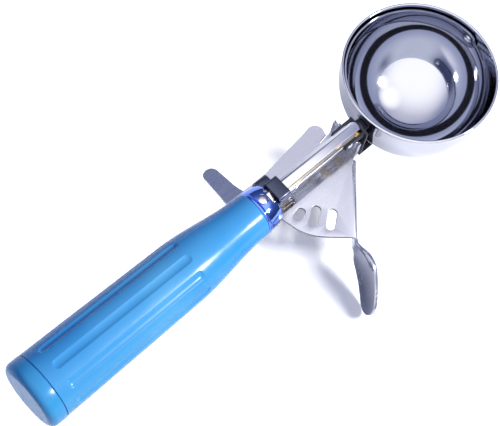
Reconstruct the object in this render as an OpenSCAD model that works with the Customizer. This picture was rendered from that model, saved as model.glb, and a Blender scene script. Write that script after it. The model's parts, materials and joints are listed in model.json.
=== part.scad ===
// Thumb-lever ice cream scoop with a geared scraper blade.
// The flat end face of the handle lies in the YZ plane and is centred on the origin.
// +X runs along the handle to the bowl, and +Z is the side that the bowl's mouth faces.
// Squeezing the lever turns it clockwise, seen from above, and its toothed edge turns
// the pinion, whose shaft sweeps the blade once across the bowl.

/* [Handle] */
// Length of the handle, from its end face to the ferrule
handle_len = 103; // [94:0.5:114]
// Radius of the handle at its free end
butt_r = 13.1; // [12.5:0.1:14]
// Radius of the grip where it starts to narrow
grip_mid_r = 12; // [11.5:0.1:12.4]
// Radius of the grip beside the ferrule
grip_front_r = 8.7; // [8.6:0.05:9.4]
// Length over which the grip narrows towards the ferrule
taper_len = 37; // [30:0.5:40]
// Length of the end cap
cap_len = 7; // [5:0.25:9]
// Rounding of the cap's edge
cap_edge_r = 2.8; // [1.5:0.1:3.5]
// Width of the seam groove between cap and grip
seam_w = 0.5; // [0.2:0.05:1]
// Depth of the seam groove
seam_depth = 0.45; // [0.2:0.05:0.8]
// Number of flutes around the grip
flute_count = 10; // [5:1:10]
// Radius of the cutter that leaves a flute
flute_r = 3.6; // [3:0.1:4.5]
// Depth of a flute
flute_depth = 0.45; // [0.2:0.05:0.7]
// Plain length between the cap and the flutes
flute_margin = 6; // [4:0.5:12]
// How far the flutes run into the narrowing part of the grip
flute_overrun = 4; // [0:0.5:6]
// Length of the grip's nose inside the ferrule
nose_len = 5.3; // [3:0.1:5.6]
// Length of the cap's spigot inside the grip
spigot_len = 6; // [3:0.5:9]
// Radius of the cap's spigot
spigot_r = 8; // [6:0.25:9]

/* [Ferrule] */
// Length of the ferrule
ferrule_len = 7.5; // [7:0.1:9]
// Outer radius of the ferrule at its rear edge
ferrule_rear_r = 8.3; // [8.2:0.05:8.5]
// Outer radius of the ferrule at its front rim
ferrule_front_r = 7.4; // [7.2:0.1:8]
// Sheet thickness of the ferrule
ferrule_wall = 0.8; // [0.6:0.05:1]
// How far the ferrule's side bulges out from a straight cone
ferrule_bulge = 0.45; // [0.2:0.05:0.8]
// Radius of the rolled bead at the ferrule's rear edge
bead_r = 0.7; // [0.5:0.05:0.9]
// Length over which the front rim is notched for the shank
rim_notch = 1.6; // [1:0.1:2.5]
// Distance of the ferrule's rivet from its rear edge
ferrule_rivet_at = 3.6; // [3:0.1:5]
// Shank radius of the ferrule's rivet
ferrule_rivet_r = 1; // [0.8:0.05:1.2]

/* [Shank] */
// Width of the channel
channel_w = 6.1; // [5.8:0.1:7]
// Height of the channel
channel_h = 4.7; // [4.4:0.1:5.2]
// Height of the channel's top face above the handle's axis
channel_top_z = 6.8; // [6.6:0.05:6.8]
// Sheet thickness of the channel and of the saddle
sheet_t = 0.9; // [0.7:0.05:0.95]
// Outer bend radius of the channel's top edges
channel_bend_r = 1.2; // [0.9:0.1:1.6]
// Length of the tang inside the grip
tang_len = 58; // [40:1:70]
// Depth and width of the fold line along the top
fold_line = 0.25; // [0.15:0.05:0.4]
// Radius of the tang's cross pin
tang_pin_r = 1.5; // [1:0.1:1.8]
// Length of the tang's cross pin
tang_pin_len = 13; // [10:0.5:15]

/* [Lever] */
// Distance of the lever's pivot from the ferrule's front rim
pivot_offset = 3.3; // [3.2:0.05:5]
// Sheet thickness of the lever
plate_t = 1.2; // [1:0.05:1.4]
// Gap between the ferrule's lowest edge and the lever
plate_gap = 0.4; // [0.3:0.05:0.8]
// Radius from the pivot to the outside of the toothed wall
sector_r = 39; // [37:0.5:42]
// Angle of the toothed wall's right end, seen from the pivot
rack_start = -7.5; // [-9:0.25:-7]
// Angle of the toothed wall's left end, seen from the pivot
rack_end = 12.3; // [12.3:0.1:13]
// Travel of the lever in degrees
lever_travel = 11.5; // [8:0.5:12]
// Distance of the bent right edge from the pivot
flange_r = 31.2; // [29:0.2:32]
// Depth of the bent right edge below the lever's top face
flange_depth = 7.2; // [5:0.2:8]
// Outer bend radius of the right edge
flange_bend_r = 1.5; // [1.3:0.1:2]
// Radius of the hub around the pivot
hub_r = 3.9; // [3.6:0.1:4.2]
// Width of the three slots
slot_w = 3.5; // [2.5:0.1:3.8]
// Width of the tail where it leaves the plate
tail_w = 8; // [6:0.25:9]
// Length of the tail beyond its bend
tail_len = 17.8; // [12:0.1:18.5]
// Radius of the tail's round tip
tail_tip_r = 3; // [1.8:0.1:3.4]
// Sideways shift of the tail's tip towards the bowl
tail_shift = 1.3; // [0:0.1:1.5]
// Downward slope of the tail in degrees
tail_slope = 20; // [10:1:30]
// Radius of the thumb press's curve
press_curve_r = 55; // [50:1:100]
// Outward lean of the thumb press in degrees
press_lean = 19; // [0:1:22]

/* [Pivot] */
// Radius of the pivot pin in the lever's hub
pin_r = 1.7; // [1.4:0.05:1.9]
// Running clearance of pins and shafts, on the radius
run_fit = 0.05; // [0.02:0.01:0.08]
// Wall of the lever's bush
bush_wall = 0.7; // [0.5:0.05:0.8]
// Thickness of a pivot washer
washer_t = 0.3; // [0.2:0.05:0.4]
// Width of the pivot bracket along the shank
bracket_w = 5.2; // [4.6:0.1:5.6]
// Sheet thickness of the pivot bracket
bracket_t = 1.1; // [0.9:0.05:1.2]
// How far the bracket reaches to the left of the shank
bracket_reach = 6; // [5.1:0.05:6.2]
// Outer bend radius of the bracket's left end
bracket_bend_r = 2.5; // [1.5:0.1:3]
// Wire diameter of the return spring
wire_d = 1.1; // [0.8:0.05:1.2]
// Mean radius of the return spring's coil
coil_r = 3.95; // [3.8:0.05:4.1]
// Number of turns of the return spring
coil_turns = 4; // [2:1:4]

/* [Bowl] */
// Inner diameter of the bowl
bowl_id = 57.15; // [50:0.05:62]
// Wall thickness of the bowl
bowl_wall = 0.7; // [0.5:0.05:0.9]
// Height of the bowl's rim above the handle's axis
rim_z = 9; // [8:0.1:10]
// Radius of the bead around the bowl's rim
lip_r = 0.55; // [0.4:0.05:0.8]
// Width of the saddle
saddle_w = 9.2; // [8.4:0.1:9.6]
// Gap between the toothed wall and the saddle
saddle_gap = 1.2; // [1:0.05:2]
// Length of the saddle's lower lip behind its web
saddle_lip = 4; // [2:0.25:5]
// Depth of the saddle's lower lip below the lever
saddle_drop = 1.2; // [0.8:0.1:2]
// Radius of the saddle's and the bracket's rivets
rivet_r = 0.7; // [0.5:0.05:0.8]

/* [Scraper] */
// Height of the shaft's axis above the handle's axis
shaft_z = 2.6; // [2.5:0.05:2.7]
// Radius of the scraper's shaft
shaft_r = 1.4; // [1.2:0.05:1.45]
// Width of the scraper blade
blade_w = 8; // [6:0.25:10]
// Thickness of the scraper blade
blade_t = 0.6; // [0.4:0.05:0.8]
// Gap between the blade and the bowl
blade_gap = 0.35; // [0.3:0.05:0.6]
// Turns of the pinion for one turn of the lever
gear_ratio = 15; // [15:1:16]
// Number of the pinion's teeth
pinion_teeth = 8; // [8:1:9]
// Width of the pinion along its shaft
pinion_w = 2.6; // [2:0.1:2.8]
// Backlash between the pinion and the toothed wall
backlash = 0.12; // [0.08:0.01:0.16]
// Length of the front bearing between saddle and bowl
front_bush_len = 2.3; // [1.6:0.1:4]
// Radius of the front bearing's knob
front_bush_r = 2.7; // [2.3:0.1:3]
// Length of the rear bearing
rear_bush_len = 3; // [2:0.25:4]
// Distance between the two bearings
bush_span = 9.5; // [9:0.25:11]
// Length of the shaft's collar
collar_len = 1.5; // [1:0.1:2.5]
// Radius of the stud that carries the blade's far end
stud_r = 1.1; // [0.9:0.05:1.3]

/* [Hidden] */
$fn = 96;
eps = 0.5;                // overshoot of a cutter past the face that it cuts
seat = 0.02;              // clearance of pieces that are pressed or moulded together
face_gap = 0.05;          // clearance between flat faces that slide on each other
pressure_angle = 30;

// Places along X
ferrule_x1 = handle_len + ferrule_len;
nose_x1 = handle_len + nose_len;
pivot_x = ferrule_x1 + pivot_offset;
web_x0 = pivot_x + sector_r + saddle_gap;
web_x1 = web_x0 + sheet_t;
bowl_near_x = web_x1 + front_bush_len + face_gap;
bowl_r = bowl_id / 2;
bowl_r_out = bowl_r + bowl_wall;
bowl_x = bowl_near_x + bowl_r_out;
tang_x0 = handle_len - tang_len;
rear_bush_x1 = web_x0 - bush_span;
rear_bush_x0 = rear_bush_x1 - rear_bush_len;
collar_x1 = rear_bush_x0 - face_gap;
collar_x0 = collar_x1 - collar_len;
pinion_gap = 5 * face_gap;
pinion_x1 = web_x0 - pinion_gap;
pinion_x0 = pinion_x1 - pinion_w;
pinion_room_x0 = pinion_x0 - 3 * pinion_gap;      // rear end of the opening over the pinion

// Heights
plate_top_z = -ferrule_front_r - plate_gap;
plate_low_z = plate_top_z - plate_t;
channel_low_z = channel_top_z - channel_h;
strap_low_z = channel_low_z - bracket_t;
saddle_low_z = plate_low_z - saddle_drop;
bowl_collar_h = rim_z - shaft_z;

// Gear
rack_r = sector_r - plate_t / 2;
pitch_r = rack_r / gear_ratio;
gear_module = 2 * pitch_r / pinion_teeth;
addendum = 0.8 * gear_module;
pinion_tip_r = pitch_r + addendum;
tip_clearance = 0.12;
pinion_root_r = pitch_r - addendum - tip_clearance;
rack_root_z = shaft_z - pinion_tip_r - tip_clearance;
rack_tip_z = shaft_z - pitch_r + addendum;
tooth_angle = 360 / (pinion_teeth * gear_ratio);

// Blade
blade_r_out = bowl_r - blade_gap;
blade_r_in = blade_r_out - blade_t;

// Lever outline, from the pivot
bend_lap = 0.4;                         // flat flank of a bend that runs back into the sheet
flange_turn = -43.7;                    // direction that the bent right edge faces
flange_u = [-20.5, 10.8];               // ends of the bent right edge, along it
bend_n = flange_r - flange_bend_r;      // distance of the line where it starts to bend
rack_bend_r = sector_r - plate_t;       // radius where the toothed wall starts to bend
corner = flange_r * polar(1, flange_turn)           // between the bent edge and the rear edge
    - flange_u[1] * polar(1, flange_turn + 90);
rear_edge = [[12.8, -27], [7.3, -22.2], [3.3, -17.9], [0.5, -12.3], [-0.3, -8.9], [-1.6, -3.6]];
tail_root = [-8.3, 11.3];               // middle of the tail's bend line
tail_side = [tail_w / 2 + 0.1, 0];
inner_edge = [[-3.3, 3], [-7.3, 6.5], tail_root - tail_side - [0.6, 2.1], tail_root - tail_side];
left_edge = [tail_root + tail_side, [0, 11.2], [3.7, 10.8], [9.3, 11.5], [28, 13.9], [31.9, 14.5]];
paddle_corner = [32.4, 11.15];          // centre of the paddle's round end
paddle_corner_r = 3.4;
paddle_end = [34.9, 8.3];
relief_r = 31.8;                        // radius where the slit beside the paddle ends
relief_angle = 13.2;
relief_w = 0.7;
slots = [[[4.1, -9.1], [6.1, -8.5]], [[6.7, -14.3], [11.1, -11.5]], [[10.6, -19.4], [14.8, -16.2]]];
press_neck = [[12, -8.4], [15, -8.3], [21, -9.5], [21, -13], [15, -13.4], [12, -12.8]];
neck_low_z = -12.6;                     // lower edge of the neck where it leaves the bent edge
press_root = [20.3, -11.1, 5.9];        // along, height and radius of the leaf's wide end
press_tip = [31.2, -16.3, 4.9];         // the same of its tip
press_centre_u = 44.3;                  // centre of the press's curve, along the bent edge
press_sag = 9.4;                        // how far the curve's crown stands out of the flange
press_depth = [6, 14];                  // room for the curve inside and outside the flange
press_low_z = plate_top_z - 4 * flange_depth;
press_lean_z = plate_low_z - plate_t;   // height where the leaning press meets the flange

// A point at an angle and radius
function polar(r, a) = [r * cos(a), r * sin(a)];

// Points along an arc between two angles
function arc(middle, r, a0, a1, steps = 6) =
    [for (i = [0 : steps]) middle + polar(r, a0 + (a1 - a0) * i / steps)];

// Radius of the grip at a place along it: a slim cone that narrows softly at its front
function grip_r_at(x) = x < taper_x0
    ? butt_r + (grip_mid_r - butt_r) * x / taper_x0
    : grip_mid_r + (grip_front_r - grip_mid_r) * (1 - cos(180 * (x - taper_x0) / taper_len)) / 2;
taper_x0 = handle_len - taper_len;

// Outer radius of the ferrule at a share of its length, a cone with a bulge
function ferrule_r_at(t) = ferrule_rear_r
    + (ferrule_front_r - ferrule_rear_r) * t + ferrule_bulge * 4 * t * (1 - t);

// Solid of revolution about X from [radius, x] points
module turned(points) {
    rotate([0, 90, 0])
        rotate_extrude()
            polygon(points);
}

// Rod along X, by its ends, radius and height
module rod_x(x0, x1, r, z = shaft_z) {
    translate([x0, 0, z])
        rotate([0, 90, 0])
            cylinder(h = x1 - x0, r = r);
}

// Block by two opposite corners
module block(low, high) {
    translate(low)
        cube(high - low);
}

// Rivet along +Z, with its head's underside at z = 0
module rivet(r, head_r, head_h, length) {
    translate([0, 0, -length])
        cylinder(h = length, r = r);
    domed_head(head_r, head_h);
}

// Low dome of a given radius and height, standing on z = 0
module domed_head(r, h) {
    dome_r = (r * r + h * h) / (2 * h);
    intersection() {
        translate([0, 0, h - dome_r])
            sphere(r = dome_r);
        cylinder(h = h + eps, r = r);
    }
}

// ---- Handle ----

module handle_grip() color("royalblue") {
    steps = 12;
    front = [for (i = [0 : steps])
        let (x = taper_x0 + (taper_len - grip_edge) * i / steps) [grip_r_at(x), x]];
    difference() {
        union() {
            turned([[0, cap_len], [grip_r_at(cap_len), cap_len], each front,
                    [grip_front_r - grip_edge, handle_len], [0, handle_len]]);
            turned([[0, handle_len - eps], [nose_r(), handle_len - eps],
                    [nose_r(), nose_x1], [0, nose_x1]]);
        }
        flutes();
        tang_slot();
        // The channel's top stays free beyond the grip's front face
        block([handle_len, -channel_w / 2 - seat, channel_low_z],
              [nose_x1 + eps, channel_w / 2 + seat, grip_front_r]);
        turned([[0, cap_len - eps], [spigot_r + seat, cap_len - eps],
                [spigot_r + seat, cap_len + spigot_len + seat], [0, cap_len + spigot_len + seat]]);
        translate([tang_pin_x(), 0, tang_pin_z()])
            rotate([90, 0, 0])
                cylinder(h = tang_pin_len + 2 * seat, r = tang_pin_r + seat, center = true);
        ferrule_rivet_axis()
            cylinder(h = 2 * channel_h, r = ferrule_rivet_r + seat, center = true);
    }
}

// Radius of the grip's nose, which the ferrule's narrowing wall clears
function nose_r() = ferrule_r_at(nose_len / ferrule_len) - ferrule_wall - ferrule_clearance;
ferrule_clearance = 0.35;
grip_edge = 0.6;                                  // broken edge at the grip's front

// Place of the tang's cross pin
function tang_pin_x() = tang_x0 + 8 * tang_pin_r;
function tang_pin_z() = channel_low_z + tang_pin_r + 4 * face_gap;

// The flutes' cutters, each a round-ended rod that lies along the slim cone
module flutes() {
    x0 = cap_len + flute_margin;
    x1 = taper_x0 + flute_overrun;
    slope = atan((butt_r - grip_mid_r) / taper_x0);
    for (i = [0 : flute_count - 1])
        rotate([flute_turn + i * 360 / flute_count, 0, 0])
            translate([x0, 0, grip_r_at(x0) + flute_r - flute_depth])
                rotate([0, 90 + slope, 0]) {
                    cylinder(h = (x1 - x0) / cos(slope), r = flute_r);
                    sphere(r = flute_r);
                    translate([0, 0, (x1 - x0) / cos(slope)])
                        sphere(r = flute_r);
                }
}

flute_turn = 2;                                   // angle of the first flute from the top

// Room for the tang in the grip
module tang_slot() {
    block([tang_x0 - seat, -channel_w / 2 - seat, channel_low_z - seat],
          [nose_x1 + eps, channel_w / 2 + seat, channel_top_z + seat]);
}

module end_cap() color("dodgerblue") {
    difference() {
        union() {
            rotate([0, 90, 0])
                rotate_extrude() {
                    translate([0, cap_edge_r])
                        square([butt_r, cap_len - cap_edge_r - seat]);
                    square([butt_r - cap_edge_r, cap_len - seat]);
                    translate([butt_r - cap_edge_r, cap_edge_r])
                        circle(r = cap_edge_r);
                }
            turned([[0, cap_len - eps], [spigot_r, cap_len - eps],
                    [spigot_r, cap_len + spigot_len], [0, cap_len + spigot_len]]);
        }
        turned([[grip_r_at(cap_len) - seam_depth, cap_len - seam_w], [butt_r + eps, cap_len - seam_w],
                [butt_r + eps, cap_len + eps], [grip_r_at(cap_len) - seam_depth, cap_len + eps]]);
    }
}

// ---- Ferrule ----

module ferrule() color("silver") {
    steps = 8;
    wall_r = [for (i = [0 : steps]) ferrule_r_at(i / steps)];
    outer = [for (i = [0 : steps]) [wall_r[i], handle_len + ferrule_len * i / steps]];
    inner = [for (i = [0 : steps]) [wall_r[i] - ferrule_wall, handle_len + ferrule_len * i / steps]];
    difference() {
        rotate([0, 90, 0])
            rotate_extrude() {
                polygon([each outer, each [for (i = [steps : -1 : 0]) inner[i]]]);
                translate([ferrule_rear_r - bead_r / 2, handle_len + bead_r])
                    circle(r = bead_r);
            }
        block([handle_len - eps, -channel_w / 2 - seat, channel_low_z],
              [ferrule_x1 + eps, channel_w / 2 + seat, channel_top_z + seat]);
        block([ferrule_x1 - rim_notch, -channel_w / 2 - seat, channel_low_z],
              [ferrule_x1 + eps, channel_w / 2 + seat, grip_front_r]);
        ferrule_rivet_axis()
            cylinder(h = 3 * ferrule_wall, r = ferrule_rivet_r + seat, center = true);
    }
}

// Puts a piece on top of the ferrule, square to its side
module ferrule_rivet_axis() {
    t = ferrule_rivet_at / ferrule_len;
    tilt = atan((ferrule_rear_r - ferrule_front_r) / ferrule_len);
    translate([handle_len + ferrule_rivet_at, 0, ferrule_r_at(t)])
        rotate([0, tilt, 0])
            children();
}

module ferrule_rivet() color("white") {
    reach = (ferrule_r_at(ferrule_rivet_at / ferrule_len) - channel_top_z) + sheet_t;
    ferrule_rivet_axis()
        translate([0, 0, face_gap])
            rivet(ferrule_rivet_r, ferrule_rivet_r * 2, ferrule_rivet_r * 0.9, reach);
}

// ---- Shank ----

// Cross section of the channel, open below
module channel_section() {
    low = channel_low_z;
    difference() {
        union() {
            translate([-channel_w / 2, low])
                square([channel_w, channel_h - channel_bend_r]);
            translate([-channel_w / 2 + channel_bend_r, low])
                square([channel_w - 2 * channel_bend_r, channel_h]);
            for (side = [-1, 1])
                translate([side * (channel_w / 2 - channel_bend_r), channel_top_z - channel_bend_r])
                    circle(r = channel_bend_r);
        }
        translate([-channel_w / 2 + sheet_t, low - eps])
            square([channel_w - 2 * sheet_t, channel_h - sheet_t + eps]);
        translate([-channel_w / 6, channel_top_z])
            circle(r = fold_line, $fn = 4);
    }
}

module shank() color("gainsboro") {
    difference() {
        intersection() {
            translate([tang_x0, 0, 0])
                rotate([90, 0, 90])
                    linear_extrude(web_x0 - tang_x0)
                        channel_section();
            translate([0, 0, channel_low_z - eps])
                linear_extrude(channel_h + 2 * eps) {
                    translate([0, -channel_w])
                        square([web_x0 - channel_w / 2, 2 * channel_w]);
                    translate([web_x0 - channel_w / 2, 0])
                        circle(d = channel_w);
                }
        }
        block([pinion_room_x0, -channel_w, channel_low_z - eps],
              [web_x0 + eps, channel_w, channel_top_z - sheet_t]);
        translate([tang_pin_x(), 0, tang_pin_z()])
            rotate([90, 0, 0])
                cylinder(h = 2 * channel_w, r = tang_pin_r + seat, center = true);
        rivet_holes(saddle_rivet_x(), saddle_rivet_z(), channel_w / 2 + eps);
        rivet_holes(bracket_rivet_x(), bracket_rivet_z(), channel_w / 2 + eps);
        ferrule_rivet_axis()
            cylinder(h = 4 * channel_h, r = ferrule_rivet_r + seat, center = true);
    }
}

module tang_pin() color("dimgray") {
    translate([tang_pin_x(), 0, tang_pin_z()])
        rotate([90, 0, 0])
            cylinder(h = tang_pin_len, r = tang_pin_r, center = true);
}

// Holes for the small rivets, through both side walls
module rivet_holes(x, z, reach) {
    translate([x, 0, z])
        rotate([90, 0, 0])
            cylinder(h = 2 * reach, r = rivet_r + seat, center = true);
}

// A pair of small rivets that point inwards from the faces at y = +outer and -outer
module rivet_pair(x, z, outer, inner, head_h) {
    for (side = [0, 180])
        rotate([0, 0, side])
            translate([side == 0 ? x : -x, outer, z])
                rotate([-90, 0, 0]) {
                    translate([0, 0, inner - outer])
                        cylinder(h = outer - inner, r = rivet_r);
                    domed_head(rivet_r * 1.8, head_h);
                }
}

// ---- Pivot bracket, pin and spring ----

function bracket_rivet_x() = pivot_x + bracket_w / 2 + 6 * rivet_r;
function bracket_rivet_z() = channel_low_z + 2.5 * rivet_r;
ear_y = channel_w / 2 - sheet_t - face_gap;       // outer face of the bracket's inner ears
ear_t = 0.8;
ear_margin = 4 * rivet_r;                         // from the rivet to the end of an ear
strap_gap = 3 * face_gap;                         // side clearance of the strap and the spring

module pivot_bracket() color("slategray") {
    strap_x0 = pivot_x - bracket_w / 2;
    left = channel_w / 2 + bracket_reach;
    low = plate_top_z + bracket_t;
    difference() {
        union() {
            translate([strap_x0, 0, 0])
                rotate([90, 0, 90])
                    linear_extrude(bracket_w)
                        difference() {
                            union() {
                                translate([-channel_w / 2 - strap_gap, strap_low_z])
                                    square([left - bracket_bend_r + channel_w / 2 + strap_gap, bracket_t]);
                                translate([left - bracket_t, low])
                                    square([bracket_t, channel_low_z - bracket_bend_r - low]);
                                translate([left - bracket_bend_r, channel_low_z - bracket_bend_r])
                                    circle(r = bracket_bend_r);
                                strap_band();
                            }
                            translate([left - bracket_bend_r, channel_low_z - bracket_bend_r])
                                circle(r = bracket_bend_r - bracket_t);
                            translate([-channel_w, low - eps])
                                square([channel_w + left - bracket_t, strap_low_z - low + eps]);
                        }
            block([pivot_x, -ear_y, strap_low_z],
                  [bracket_rivet_x() + ear_margin, ear_y, channel_low_z]);
            for (side = [0, 1])
                mirror([0, side, 0])
                    block([bracket_rivet_x() - ear_margin, ear_y - ear_t, strap_low_z],
                          [bracket_rivet_x() + ear_margin, ear_y, channel_top_z - sheet_t - 4 * face_gap]);
        }
        rivet_holes(bracket_rivet_x(), bracket_rivet_z(), ear_y + eps);
        translate([pivot_x, 0, strap_low_z - eps])
            cylinder(h = bracket_t + 2 * eps, r = pin_neck_r + seat);
    }
}

// Section of the strap's band, which runs once around the shank
module strap_band() {
    difference() {
        offset(r = bracket_t)
            strap_room();
        strap_room();
    }
}

module strap_room() {
    half = channel_w / 2 + strap_gap;
    translate([-half, channel_low_z])
        square([2 * half, channel_h + strap_gap]);
}

module bracket_rivets() color("white") {
    rivet_pair(bracket_rivet_x(), bracket_rivet_z(), channel_w / 2, ear_y - ear_t, 0.35);
}

pin_neck_r = pin_r - 0.6;                         // the pin's neck in the bracket
pin_head_r = channel_w / 2 - sheet_t - 4 * face_gap;
pin_foot_r = 3.2;
washer_r = 3;
washer_low_z = plate_low_z - face_gap - washer_t; // underside of the lower washer

module pivot_pin() color("lightgray") {
    translate([pivot_x, 0, 0]) {
        translate([0, 0, washer_low_z])
            cylinder(h = strap_low_z - washer_low_z, r = pin_r);
        translate([0, 0, strap_low_z - eps])
            cylinder(h = bracket_t + eps, r = pin_neck_r);
        translate([0, 0, channel_low_z])
            domed_head(pin_head_r, 0.8);
        translate([0, 0, washer_low_z])
            mirror([0, 0, 1])
                domed_head(pin_foot_r, 1.1);
    }
}

module pivot_washers() color("gray") {
    for (z = [washer_low_z, plate_top_z + face_gap])
        translate([pivot_x, 0, z])
            difference() {
                cylinder(h = washer_t, r = washer_r);
                translate([0, 0, -eps])
                    cylinder(h = washer_t + 2 * eps, r = pin_r + seat);
            }
}

wire_r = wire_d / 2;
coil_low_z = -(ferrule_front_r - ferrule_wall) + wire_r + 6 * face_gap;
coil_high_z = strap_low_z - strap_gap - wire_r;
spring_leg = 6.2;                                 // length of the leg that pushes the lever
spring_hook = 3.6;                                // length of the leg on the bracket

// The coil is wound clockwise as it rises, and both legs leave it along +X
module return_spring() color("saddlebrown") {
    translate([pivot_x, 0, 0]) {
        spring_coil();
        spring_arm(-coil_r, coil_low_z, spring_leg, plate_low_z - coil_low_z);
        spring_arm(coil_r, coil_high_z, spring_hook, channel_low_z - coil_high_z);
    }
}

// A straight leg along +X that ends in a short bend up or down
module spring_arm(y, z, length, rise) {
    translate([0, y, z]) {
        rotate([0, 90, 0])
            cylinder(h = length, r = wire_r);
        translate([length, 0, 0]) {
            sphere(r = wire_r);
            mirror([0, 0, rise < 0 ? 1 : 0])
                cylinder(h = abs(rise), r = wire_r);
        }
    }
}

// The coil as a swept ring of eight sides
module spring_coil() {
    sides = 8;
    rings_per_turn = 20;
    rings = (coil_turns + 0.5) * rings_per_turn;
    rise = (coil_high_z - coil_low_z) / rings;
    points = [
        for (i = [0 : rings], k = [0 : sides - 1])
            let (turn = -90 - 360 * i / rings_per_turn,
                 side = 360 * k / sides,
                 r = coil_r + wire_r * cos(side))
                [r * cos(turn), r * sin(turn), coil_low_z + rise * i + wire_r * sin(side)]
    ];
    skin = [
        for (i = [0 : rings - 1], k = [0 : sides - 1])
            let (a = i * sides + k,
                 b = i * sides + (k + 1) % sides)
                [a, a + sides, b + sides, b]
    ];
    start = [for (k = [0 : sides - 1]) k];
    finish = [for (k = [sides - 1 : -1 : 0]) rings * sides + k];
    polyhedron(points, [start, each skin, finish]);
}

// ---- Lever ----

module lever_plate() color("lightsteelblue") {
    translate([pivot_x, 0, 0])
        difference() {
            union() {
                in_sheet() circle(r = hub_r);
                in_sheet() plate_outline();
                in_sheet() translate(paddle_corner) circle(r = paddle_corner_r);
                toothed_wall();
                bent_edge();
                lever_tail();
                thumb_press();
            }
            through_sheet() circle(r = pin_r + bush_wall + seat);
            through_sheet() translate([spring_leg, -coil_r]) circle(r = wire_r + 4 * face_gap);
            for (s = slots)
                through_sheet() slot(s[0], s[1]);
            through_sheet() rotate(relief_angle) translate([relief_r, 0]) slit();
        }
}

// Gives an outline the thickness and the height of the lever's flat sheet
module in_sheet() {
    translate([0, 0, plate_low_z])
        linear_extrude(plate_t)
            children();
}

// The same, long enough to cut through the sheet
module through_sheet() {
    translate([0, 0, plate_low_z - eps])
        linear_extrude(plate_t + 2 * eps)
            children();
}

// Flat part of the lever from above, up to the lines where its edges start to bend
module plate_outline() {
    intersection() {
        polygon([
            [0, 0], each inner_edge, each left_edge, paddle_end,
            polar(relief_r, relief_angle), polar(sector_r + plate_t, rack_end),
            polar(sector_r + plate_t, rack_start), corner, each rear_edge
        ]);
        circle(r = rack_bend_r - bend_lap / 2);
        rotate(flange_turn) {
            translate([bend_n - bend_lap / 2 - 2 * sector_r, -2 * sector_r])
                square([2 * sector_r, 4 * sector_r]);
            translate([0, -flange_u[0] + 2 * face_gap])
                square([flange_r, sector_r]);
        }
    }
}

// Slit that frees the paddle from the toothed wall's end
module slit() {
    circle(d = relief_w);
    translate([0, -relief_w / 2])
        square([sector_r, relief_w]);
}

// Round-ended slot between two centres
module slot(a, b) {
    length = norm(b - a);
    translate(a)
        rotate(atan2(b[1] - a[1], b[0] - a[0])) {
            translate([0, -slot_w / 2])
                square([length, slot_w]);
            circle(d = slot_w);
            translate([length, 0])
                circle(d = slot_w);
        }
}

// Wall bent up along the front edge, with teeth cut into its top
module toothed_wall() {
    difference() {
        rotate([0, 0, rack_start])
            rotate_extrude(angle = rack_end - rack_start)
                polygon([
                    [rack_bend_r - bend_lap, plate_top_z], [rack_bend_r - bend_lap, plate_low_z],
                    each arc([rack_bend_r, plate_top_z], plate_t, -90, 0),
                    [sector_r, rack_tip_z], [rack_bend_r, rack_tip_z], [rack_bend_r, plate_top_z]
                ]);
        for (i = [floor(rack_start / tooth_angle) : floor(rack_end / tooth_angle)])
            rotate([0, 0, (i + 0.5) * tooth_angle])
                translate([rack_bend_r - eps, 0, 0])
                    rotate([90, 0, 90])
                        linear_extrude(plate_t + 2 * eps)
                            rack_gap();
    }
}

// One gap between two teeth of the wall
module rack_gap() {
    half = PI * gear_module / 4 + backlash / 4;
    flank = tan(pressure_angle);
    pitch_z = shaft_z - pitch_r;
    root_half = half - (pitch_z - rack_root_z) * flank;
    tip_half = half + (rack_tip_z + eps - pitch_z) * flank;
    polygon([[-root_half, rack_root_z], [root_half, rack_root_z],
             [tip_half, rack_tip_z + eps], [-tip_half, rack_tip_z + eps]]);
}

// Edge bent down along the right side
module bent_edge() {
    middle = [bend_n, -flange_bend_r];
    rotate([0, 0, flange_turn])
        translate([0, -flange_u[0], plate_top_z])
            rotate([90, 0, 0])
                linear_extrude(flange_u[1] - flange_u[0])
                    polygon([
                        [bend_n - bend_lap, -plate_t], [bend_n - bend_lap, 0],
                        each arc(middle, flange_bend_r, 90, 0),
                        [flange_r, -flange_depth], [flange_r - plate_t, -flange_depth],
                        each arc(middle, flange_bend_r - plate_t, 0, 90)
                    ]);
}

// Tail on the left of the handle, bent down from the plate
module lever_tail() {
    half = tail_w / 2;
    waist = 0.9 * half;
    waist_y = 0.75 * half;
    straight = tail_len - tail_tip_r;
    translate([tail_root[0], tail_root[1], plate_top_z - plate_t / 2])
        rotate([-tail_slope, 0, 0])
            translate([0, 0, -plate_t / 2]) {
                linear_extrude(plate_t)
                    polygon([[-half, -bend_lap / 2], [half, -bend_lap / 2], [waist, waist_y],
                             [tail_shift + tail_tip_r, straight], [tail_shift - tail_tip_r, straight],
                             [-waist, waist_y]]);
                translate([tail_shift, straight, 0])
                    cylinder(h = plate_t, r = tail_tip_r);
            }
}

// Leaf-shaped press for the thumb, a piece of a wide curved shell on a narrow neck
module thumb_press() {
    mid_r = press_curve_r;
    rotate([0, 0, flange_turn])
        block([flange_r - plate_t, -press_neck[1][0], neck_low_z],
              [flange_r, plate_t - flange_u[1], plate_top_z - flange_bend_r]);
    rotate([0, 0, flange_turn])
        translate([flange_r, 0, press_lean_z])
            rotate([0, press_lean, 0])
                translate([-flange_r, 0, -press_lean_z])
                    intersection() {
                        translate([flange_r + press_sag - mid_r, -press_centre_u, press_low_z])
                            difference() {
                                cylinder(h = -press_low_z, r = mid_r + plate_t / 2, $fn = 360);
                                translate([0, 0, -eps])
                                    cylinder(h = 2 * eps - press_low_z, r = mid_r - plate_t / 2, $fn = 360);
                            }
                        translate([flange_r - press_depth[0], 0, 0])
                            rotate([90, 0, 90]) {
                                linear_extrude(press_depth[0] + press_depth[1])
                                    mirror([1, 0])
                                        polygon(press_neck);
                                linear_extrude(press_depth[0] + press_depth[1])
                                    mirror([1, 0])
                                        press_leaf();
                            }
                    }
}

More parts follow.
